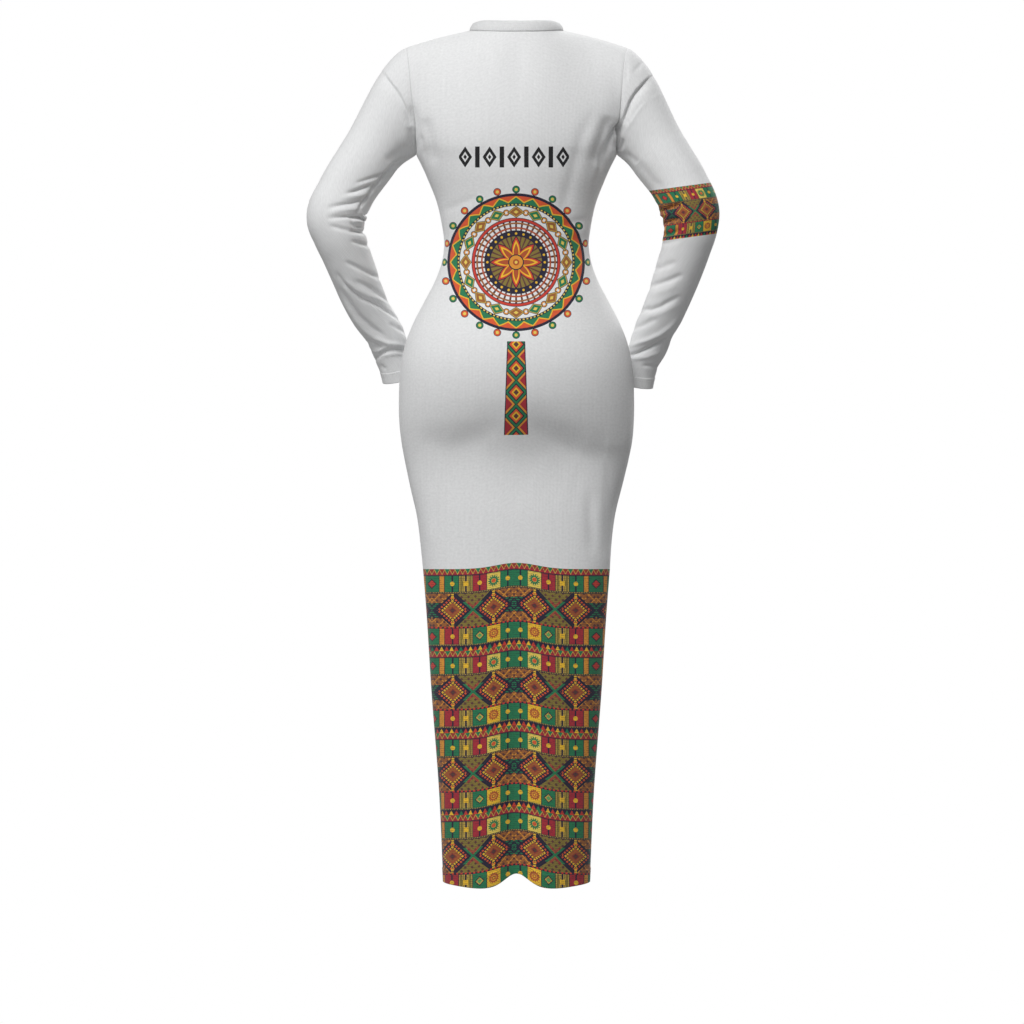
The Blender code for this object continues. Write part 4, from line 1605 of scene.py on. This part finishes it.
@dataclass(frozen=True)
class BandPrint:
    """Where and how large the banded ornament is printed, in metres."""

    top: float
    bottom: float
    unit_across: float = 0.0016
    unit_down: float = 0.0016
    start: float = -2.5
    lean: float = 0.0

    def lay(self, paint: Paint, across: Field, up: Field) -> None:
        """Lays the print on the cloth.

        Args:
            paint: the cloth's colour so far.
            across: the place across the piece, in metres.
            up: the place up the piece, in metres.
        """
        node = paint.tree.nodes.new("ShaderNodeGroup")
        node.node_tree = BandedOrnament().group()
        down = (up - self.top) * (-1 / self.unit_down)
        place = across * (1 / self.unit_across) - down * self.lean + self.start
        paint.tree.links.new(place.socket, node.inputs["Across"])
        paint.tree.links.new(down.socket, node.inputs["Down"])
        paint.lay((up < self.top) & (up > self.bottom), Paint(paint.tree, node.outputs["Colour"]))


@dataclass(frozen=True)
class SunPrint:
    """A round figure of rings and points on the back. The numbers in lay are its radii, in units of 1.5 mm."""

    x: float = 0.0008
    z: float = -0.3700
    unit: float = 0.0015

    def lay(self, paint: Paint, across: Field, up: Field) -> None:
        """Lays the print on the cloth.

        Args:
            paint: the cloth's colour so far.
            across: the place across the piece, in metres.
            up: the place up the piece, in metres.
        """
        over = (across - self.x) * (1 / self.unit)
        high = (up - self.z) * (1 / self.unit)
        radius = over.length(high)
        turn = over.math("ARCTAN2", high)

        def wave(count: int) -> Field:
            """Gives 0 at each of a number of spokes, and 1 midway between them."""
            return turn.fold(math.pi / count) * (count / math.pi)

        paint.lay(radius.near(39.5, 5.6) & (wave(40) < 0.34), Ink.EARTH)
        for ring, ink in ((36.6, Ink.RUST), (41.6, Ink.BROWN)):
            paint.lay(radius.near(ring, 0.9), ink)
        paint.nest(abs(radius - 45.6), (1.9, Ink.NAVY), (1.2, Ink.SCARLET))
        paint.lay(radius.near(61.4, 1.4) | radius.near(72.0, 1.5), Ink.NAVY)
        paint.lay(radius.near(61.4, 0.7) & (wave(96) < 0.5), Ink.STRAW)
        edge = wave(24) * -6.0 + 70.0
        border = radius.near(66.7, 3.9)
        paint.lay(border, Ink.FLAME)
        paint.lay(border & (radius < edge), Ink.GREEN)
        paint.lay(border & (radius - edge).near(0.0, 0.7), Ink.YELLOW)
        tile = wave(16) * 10.2 + abs(radius - 53.7) * 1.42
        knot = ((turn + math.pi / 16).fold(math.pi / 16) * 53.7).length(radius - 53.7)
        for reach, ink in ((3.5, Ink.NAVY), (2.8, Ink.ORANGE)):
            paint.lay(knot.near(0.0, reach) & (knot > 1.5), ink)
        paint.nest(tile, (9.2, Ink.NAVY), (8.2, Ink.SAND), (6.9, Ink.BROWN))
        paint.lay((tile < 6.9) & turn.odd(math.pi / 8), Ink.GREEN)
        paint.lay(tile < 2.6, Ink.STRAW)
        beads = (wave(24) * 10.2).length(radius - 77.6)
        paint.nest(beads, (4.1, Ink.NAVY), (3.4, Ink.GREEN))
        paint.lay((beads < 3.4) & turn.odd(math.pi / 12), Ink.FLAME)
        paint.lay(beads < 1.7, Ink.STRAW)
        paint.lay(radius < 34.0, Ink.NAVY)
        paint.lay((wave(24) * 4.0).length(radius - 30.6) < 1.3, Ink.YELLOW)
        paint.lay(radius < 27.6, Ink.OLIVE)
        paint.lay((radius < 27.6) & (wave(32) < 0.36), Ink.EARTH)
        star = wave(8) * 15.0 + radius
        paint.nest(star, (28.6, Ink.NAVY), (26.8, Ink.SCARLET), (23.6, Ink.YELLOW), (20.0, Ink.RUST))
        paint.nest(radius, (8.4, Ink.NAVY), (7.2, Ink.ORANGE), (3.4, Ink.RUST), (1.6, Ink.STRAW))


@dataclass(frozen=True)
class StemPrint:
    """A strip of nested diamonds that hangs below the round figure, in metres and units of 1.6 mm."""

    x: float = 0.0008
    top: float = -0.4965
    bottom: float = -0.6480
    half_width: float = 9.0
    unit: float = 0.0016

    def lay(self, paint: Paint, across: Field, up: Field) -> None:
        """Lays the print on the cloth.

        Args:
            paint: the cloth's colour so far.
            across: the place across the piece, in metres.
            up: the place up the piece, in metres.
        """
        over = abs(across - self.x) * (1 / self.unit)
        under = (up - self.top) * (-1 / self.unit)
        inside = (up < self.top) & (up > self.bottom)
        edge = under * 0.035 + self.half_width
        ring = over * 1.1 + (under - 3.0).fold(12.0)
        for start, ink in (
            (0.0, Ink.EARTH), (3.0, Ink.YELLOW), (5.0, Ink.FLAME), (7.6, Ink.NAVY), (9.2, Ink.GREEN),
            (12.2, Ink.NAVY), (13.4, Ink.ORANGE), (16.0, Ink.RED),
        ):  # fmt: skip
            paint.lay(inside & (over < edge) & (ring > start), ink)
        paint.lay(inside & (over < edge) & (over > edge - 1.0), Ink.NAVY)


@dataclass(frozen=True)
class RowPrint:
    """A row of black lozenges and bars across the back, in metres."""

    x: float = 0.0040
    z: float = -0.2016
    pitch: float = 0.0196
    half_height: float = 0.0168
    lozenges: int = 5
    bar: float = 0.0036
    line: float = 0.0042

    def lay(self, paint: Paint, across: Field, up: Field) -> None:
        """Lays the print on the cloth.

        Args:
            paint: the cloth's colour so far.
            across: the place across the piece, in metres.
            up: the place up the piece, in metres.
        """
        over = across - self.x
        high = abs(up - self.z)
        inside = abs(over) < self.pitch * (self.lozenges - 0.5)
        lozenge = over.fold(self.pitch) * 1.5 + high
        paint.lay(inside & lozenge.near(self.line * 3, self.line), Ink.BLACK)
        paint.lay(inside & (lozenge < self.line), Ink.BLACK)
        bars = over.fold(self.pitch) > self.pitch - self.bar
        paint.lay(inside & bars & (high < self.half_height), Ink.BLACK)


@dataclass(frozen=True)
class Knit:
    """White rib knit: fine ribs, uneven yarn, and what is printed on it.

    Lengths are in metres, and the heights of slubs, mottle and fluff are in depths of a rib.
    """

    rib: float = 0.0023
    rib_depth: float = 0.00014
    yarn: Colour = (0.795, 0.800, 0.803)
    roughness: float = 0.88
    sheen: float = 0.15
    sheen_roughness: float = 0.5
    specular: float = 0.25
    rib_shade: float = 0.022
    streak: float = 0.07
    slub: float = 0.05
    mottle: float = 0.21
    streak_size: tuple[float, float] = (0.0045, 0.090)
    slub_size: tuple[float, float] = (0.026, 0.0020)
    mottle_size: tuple[float, float] = (0.0045, 0.0038)
    fluff_size: tuple[float, float] = (0.0008, 0.0013)
    slub_height: float = 6.0
    mottle_height: float = 3.0
    fluff_height: float = 1.1

    def material(self, name: str, prints: Sequence[Print] = ()) -> bpy.types.Material:
        """Makes the finish.

        Args:
            name: the finish's name.
            prints: what is printed on the piece.

        Returns:
            The finish.
        """
        material, tree, shader = new_finish(name)
        along, up = self.place(tree, "cloth")
        rib = along.fold(self.rib / 2) * (2 / self.rib)
        paint = Paint.plain(tree, self.yarn)
        if prints:
            across, level = self.place(tree, "print")
            for layer in prints:
                layer.lay(paint, across, level)
        streaks = along.noise(up, *self.streak_size, seed=1.0) * self.streak
        slubs = along.noise(up, *self.slub_size, seed=2.0) * self.slub
        mottle = along.noise(up, *self.mottle_size, seed=3.0) * self.mottle
        middle = (self.streak + self.slub + self.mottle + self.rib_shade) / 2
        paint.shade(streaks + slubs + mottle + rib * self.rib_shade + (1 - middle))
        tree.links.new(paint.colour, shader.inputs["Base Color"])
        shader.inputs["Roughness"].default_value = self.roughness
        shader.inputs["Sheen Weight"].default_value = self.sheen
        shader.inputs["Sheen Roughness"].default_value = self.sheen_roughness
        shader.inputs["Specular IOR Level"].default_value = self.specular
        fluff = along.noise(up, *self.fluff_size, seed=4.0)
        bump = tree.nodes.new("ShaderNodeBump")
        bump.inputs["Distance"].default_value = 1.0
        uneven = slubs * self.slub_height + mottle * self.mottle_height + fluff * self.fluff_height
        height = (rib + uneven) * self.rib_depth
        tree.links.new(height.socket, bump.inputs["Height"])
        tree.links.new(bump.outputs[0], shader.inputs["Normal"])
        return material

    @staticmethod
    def place(tree: bpy.types.NodeTree, name: str) -> tuple[Field, Field]:
        """Reads one of the cloth's maps.

        Args:
            tree: the finish's nodes.
            name: the map.

        Returns:
            The place across and the place up, in metres.
        """
        source = tree.nodes.new("ShaderNodeUVMap")
        source.uv_map = name
        parts = tree.nodes.new("ShaderNodeSeparateXYZ")
        tree.links.new(source.outputs[0], parts.inputs[0])
        return Field(tree, parts.outputs[0]), Field(tree, parts.outputs[1])


@dataclass(frozen=True)
class Thread:
    """Sewing thread: its colour and the twist that shows on it."""

    colour: Colour
    twist: float = 0.0007
    twist_shade: float = 0.22
    darkest: float = 0.80
    roughness: float = 0.55
    sheen: float = 0.2

    def material(self, name: str) -> bpy.types.Material:
        """Makes the finish.

        Args:
            name: the finish's name.

        Returns:
            The finish.
        """
        material, tree, shader = new_finish(name)
        source = tree.nodes.new("ShaderNodeTexCoord")
        parts = tree.nodes.new("ShaderNodeSeparateXYZ")
        tree.links.new(source.outputs["Object"], parts.inputs[0])
        x, y, z = (Field(tree, parts.outputs[axis]) for axis in range(3))
        twist = (x + y + z).fold(self.twist / 2) * (2 / self.twist)
        paint = Paint.plain(tree, self.colour)
        paint.shade(twist * self.twist_shade + self.darkest)
        tree.links.new(paint.colour, shader.inputs["Base Color"])
        shader.inputs["Roughness"].default_value = self.roughness
        shader.inputs["Sheen Weight"].default_value = self.sheen
        return material


@dataclass(frozen=True)
class Stitching:
    """A row of straight stitches laid along a line. Lengths are in metres."""

    length: float = 0.0026
    pitch: float = 0.0034
    thickness: float = 0.00055
    rise: float = 0.00005

    def sew(self, mesh: bmesh.types.BMesh, line: Grid, outward: Grid) -> int:
        """Adds the stitches of one row.

        Args:
            mesh: the mesh that they are added to.
            line: the line's points.
            outward: the cloth's outward direction at each point.

        Returns:
            How many stitches there are.
        """
        places = lengths_along(line)
        count = int(places[-1] / self.pitch)
        spread = places[-1] / count

        def read(values: Grid, place: float) -> Vector:
            """Reads a row of points part of the way along the line."""
            return Vector([np.interp(place, places, values[:, axis]) for axis in range(3)])

        for number in range(count):
            middle = (number + 0.5) * spread
            way = (read(line, middle + self.length / 2) - read(line, middle - self.length / 2)).normalized()
            out = read(outward, middle)
            side = way.cross(out).normalized()
            out = side.cross(way)
            turn = Matrix((way, side, out)).transposed().to_4x4()
            centre = read(line, middle) + out * self.rise
            size = Matrix.Diagonal((self.length / 2, self.thickness / 2, self.thickness / 2, 1.0))
            bmesh.ops.create_icosphere(
                mesh, subdivisions=1, radius=1.0, matrix=Matrix.Translation(centre) @ turn @ size
            )
        return count


@dataclass(frozen=True)
class Piece:
    """How one piece of cloth was cut, knitted and printed, in metres and square metres."""

    flat: tuple[float, float]
    area: float | None
    knit: Knit = Knit()
    prints: tuple[Print, ...] = ()


HEM_PRINT = BandPrint(top=ORNAMENT_TOP, bottom=-2.0, unit_down=0.001609)
SLEEVE_PRINT = BandPrint(-0.2844, -0.3673, unit_across=0.000912, unit_down=0.001016, start=14.96, lean=0.126)
PIECES = {
    "back_panel": Piece((0.50, 1.385), 0.50, prints=(HEM_PRINT, StemPrint(), SunPrint(), RowPrint())),
    "front_panel": Piece((0.50, 1.385), 0.50, prints=(HEM_PRINT,)),
    "left_sleeve": Piece((0.32, 0.62), 0.13),
    "right_sleeve": Piece((0.32, 0.62), 0.13, prints=(SLEEVE_PRINT,)),
    "neck_band": Piece((0.42, 0.020), None, Knit(rib=0.0032, rib_depth=0.0005)),
}


class Seam(NamedTuple):
    """One place that is sewn, with its rows of stitches by their distances from the edge, in metres."""

    name: str
    cloth: str
    from_top: bool
    rows: tuple[float, ...]
    thread: Thread
    neck_only: bool = False


WHITE_THREAD = Thread((0.78, 0.78, 0.76))
DARK_THREAD = Thread(Ink.EARTH.value)
SEAMS = (
    Seam("hem_stitches_back", "back_panel", False, (0.0160, 0.0205), DARK_THREAD),
    Seam("hem_stitches_front", "front_panel", False, (0.0160, 0.0205), DARK_THREAD),
    Seam("cuff_stitches_left", "left_sleeve", True, (0.0125, 0.0160), WHITE_THREAD),
    Seam("cuff_stitches_right", "right_sleeve", True, (0.0125, 0.0160), WHITE_THREAD),
    Seam("neck_stitches_back", "back_panel", True, (0.0045,), WHITE_THREAD, True),
    Seam("neck_stitches_front", "front_panel", True, (0.0045,), WHITE_THREAD, True),
)


def sewn(seam: Seam, cloth: Cloth, neck: Grid) -> bpy.types.Object:
    """Makes the stitches of one seam as one piece.

    Args:
        seam: the seam.
        cloth: the cloth that it is on.
        neck: which of a panel's columns end at the neckline.

    Returns:
        The piece.
    """
    mesh = bmesh.new()
    count = 0
    for distance in seam.rows:
        line, outward = cloth.edge_line(distance, seam.from_top)
        if seam.neck_only:
            line, outward = line[neck], outward[neck]
        count += Stitching().sew(mesh, line, outward)
    LOG.info("%s: %d stitches", seam.name, count)
    return finished(mesh, seam.name, seam.thread.material(seam.name))


@dataclass(frozen=True)
class Lamp:
    """A soft square light. Lengths are in metres, the power in watts."""

    name: str
    place: tuple[float, float, float]
    aim: tuple[float, float, float]
    width: float
    power: float

    def hang(self) -> None:
        """Puts the light in the scene."""
        data = bpy.data.lights.new(self.name, "AREA")
        data.size = self.width
        data.energy = self.power
        lamp = bpy.data.objects.new(self.name, data)
        lamp.location = self.place
        way = Vector(self.aim) - Vector(self.place)
        lamp.rotation_euler = way.to_track_quat("-Z", "Y").to_euler()
        bpy.context.scene.collection.objects.link(lamp)


@dataclass(frozen=True)
class Studio:
    """The white floor and surroundings, the lights and the camera. Lengths are in metres."""

    floor_height: float = -1.574
    floor_half: float = 20.0
    floor_colour: Colour = (0.25, 0.25, 0.25)
    floor_roughness: float = 0.9
    surroundings: float = 0.265
    lens: float = 83.5
    camera: tuple[float, float, float] = (0.0072, 3.8, -0.7696)
    lamps: tuple[Lamp, ...] = (
        Lamp("key", (1.5, 5.0, 4.9), (0.0, 0.0, -0.6), 2.4, 389.0),
        Lamp("side", (3.9, 3.4, -0.9), (0.0, 0.0, -0.9), 2.0, 36.0),
        Lamp("front", (-3.3, -5.2, 4.1), (0.0, 0.0, -0.6), 3.0, 330.0),
    )

    def build(self) -> None:
        """Sets the whole stage."""
        mesh = bmesh.new()
        level = Matrix.Translation((0, 0, self.floor_height))
        bmesh.ops.create_grid(mesh, x_segments=1, y_segments=1, size=self.floor_half, matrix=level)
        finished(mesh, "floor", self.floor_finish())
        for lamp in self.lamps:
            lamp.hang()
        world = bpy.data.worlds.new("surroundings")
        world.use_nodes = True
        nodes, links = world.node_tree.nodes, world.node_tree.links
        seen = Field(world.node_tree, nodes.new("ShaderNodeLightPath").outputs["Is Camera Ray"])
        strength = seen * (1.0 - self.surroundings) + self.surroundings
        nodes["Background"].inputs["Color"].default_value = (1.0, 1.0, 1.0, 1.0)
        links.new(strength.socket, nodes["Background"].inputs["Strength"])
        bpy.context.scene.world = world
        data = bpy.data.cameras.new("camera")
        data.lens = self.lens
        camera = bpy.data.objects.new("camera", data)
        camera.location = self.camera
        camera.rotation_euler = (math.radians(90), 0.0, math.radians(180))
        bpy.context.scene.collection.objects.link(camera)
        bpy.context.scene.camera = camera
        bpy.context.scene.view_settings.view_transform = "Standard"

    def floor_finish(self) -> bpy.types.Material:
        """Makes the floor's finish: matt white that looks as white as the surroundings.

        Returns:
            The finish.
        """
        material, tree, shader = new_finish("floor_white")
        nodes, links = tree.nodes, tree.links
        shader.inputs["Base Color"].default_value = (*self.floor_colour, 1.0)
        shader.inputs["Roughness"].default_value = self.floor_roughness
        glow = nodes.new("ShaderNodeEmission")
        mix = nodes.new("ShaderNodeMixShader")
        links.new(nodes.new("ShaderNodeLightPath").outputs["Is Camera Ray"], mix.inputs[0])
        links.new(shader.outputs[0], mix.inputs[1])
        links.new(glow.outputs[0], mix.inputs[2])
        links.new(mix.outputs[0], nodes["Material Output"].inputs["Surface"])
        return material


def main() -> None:
    """Builds the dress, its stitches, the stage, the lights and the camera."""
    dress = Dress(CUT)
    for cloth in dress.pieces:
        cut = PIECES[cloth.name]
        piece = cloth.build(cut.knit.material(cloth.name, cut.prints))
        stitches = [sewn(seam, cloth, dress.body.at_neck) for seam in SEAMS if seam.cloth == cloth.name]
        for made in (piece, *stitches):
            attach(made, "root")
        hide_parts(cloth.name)
        LOG.info("%s: %d x %d points", cloth.name, *cloth.grid.shape[:2])
    Studio().build()


if __name__ == "__main__":
    main()
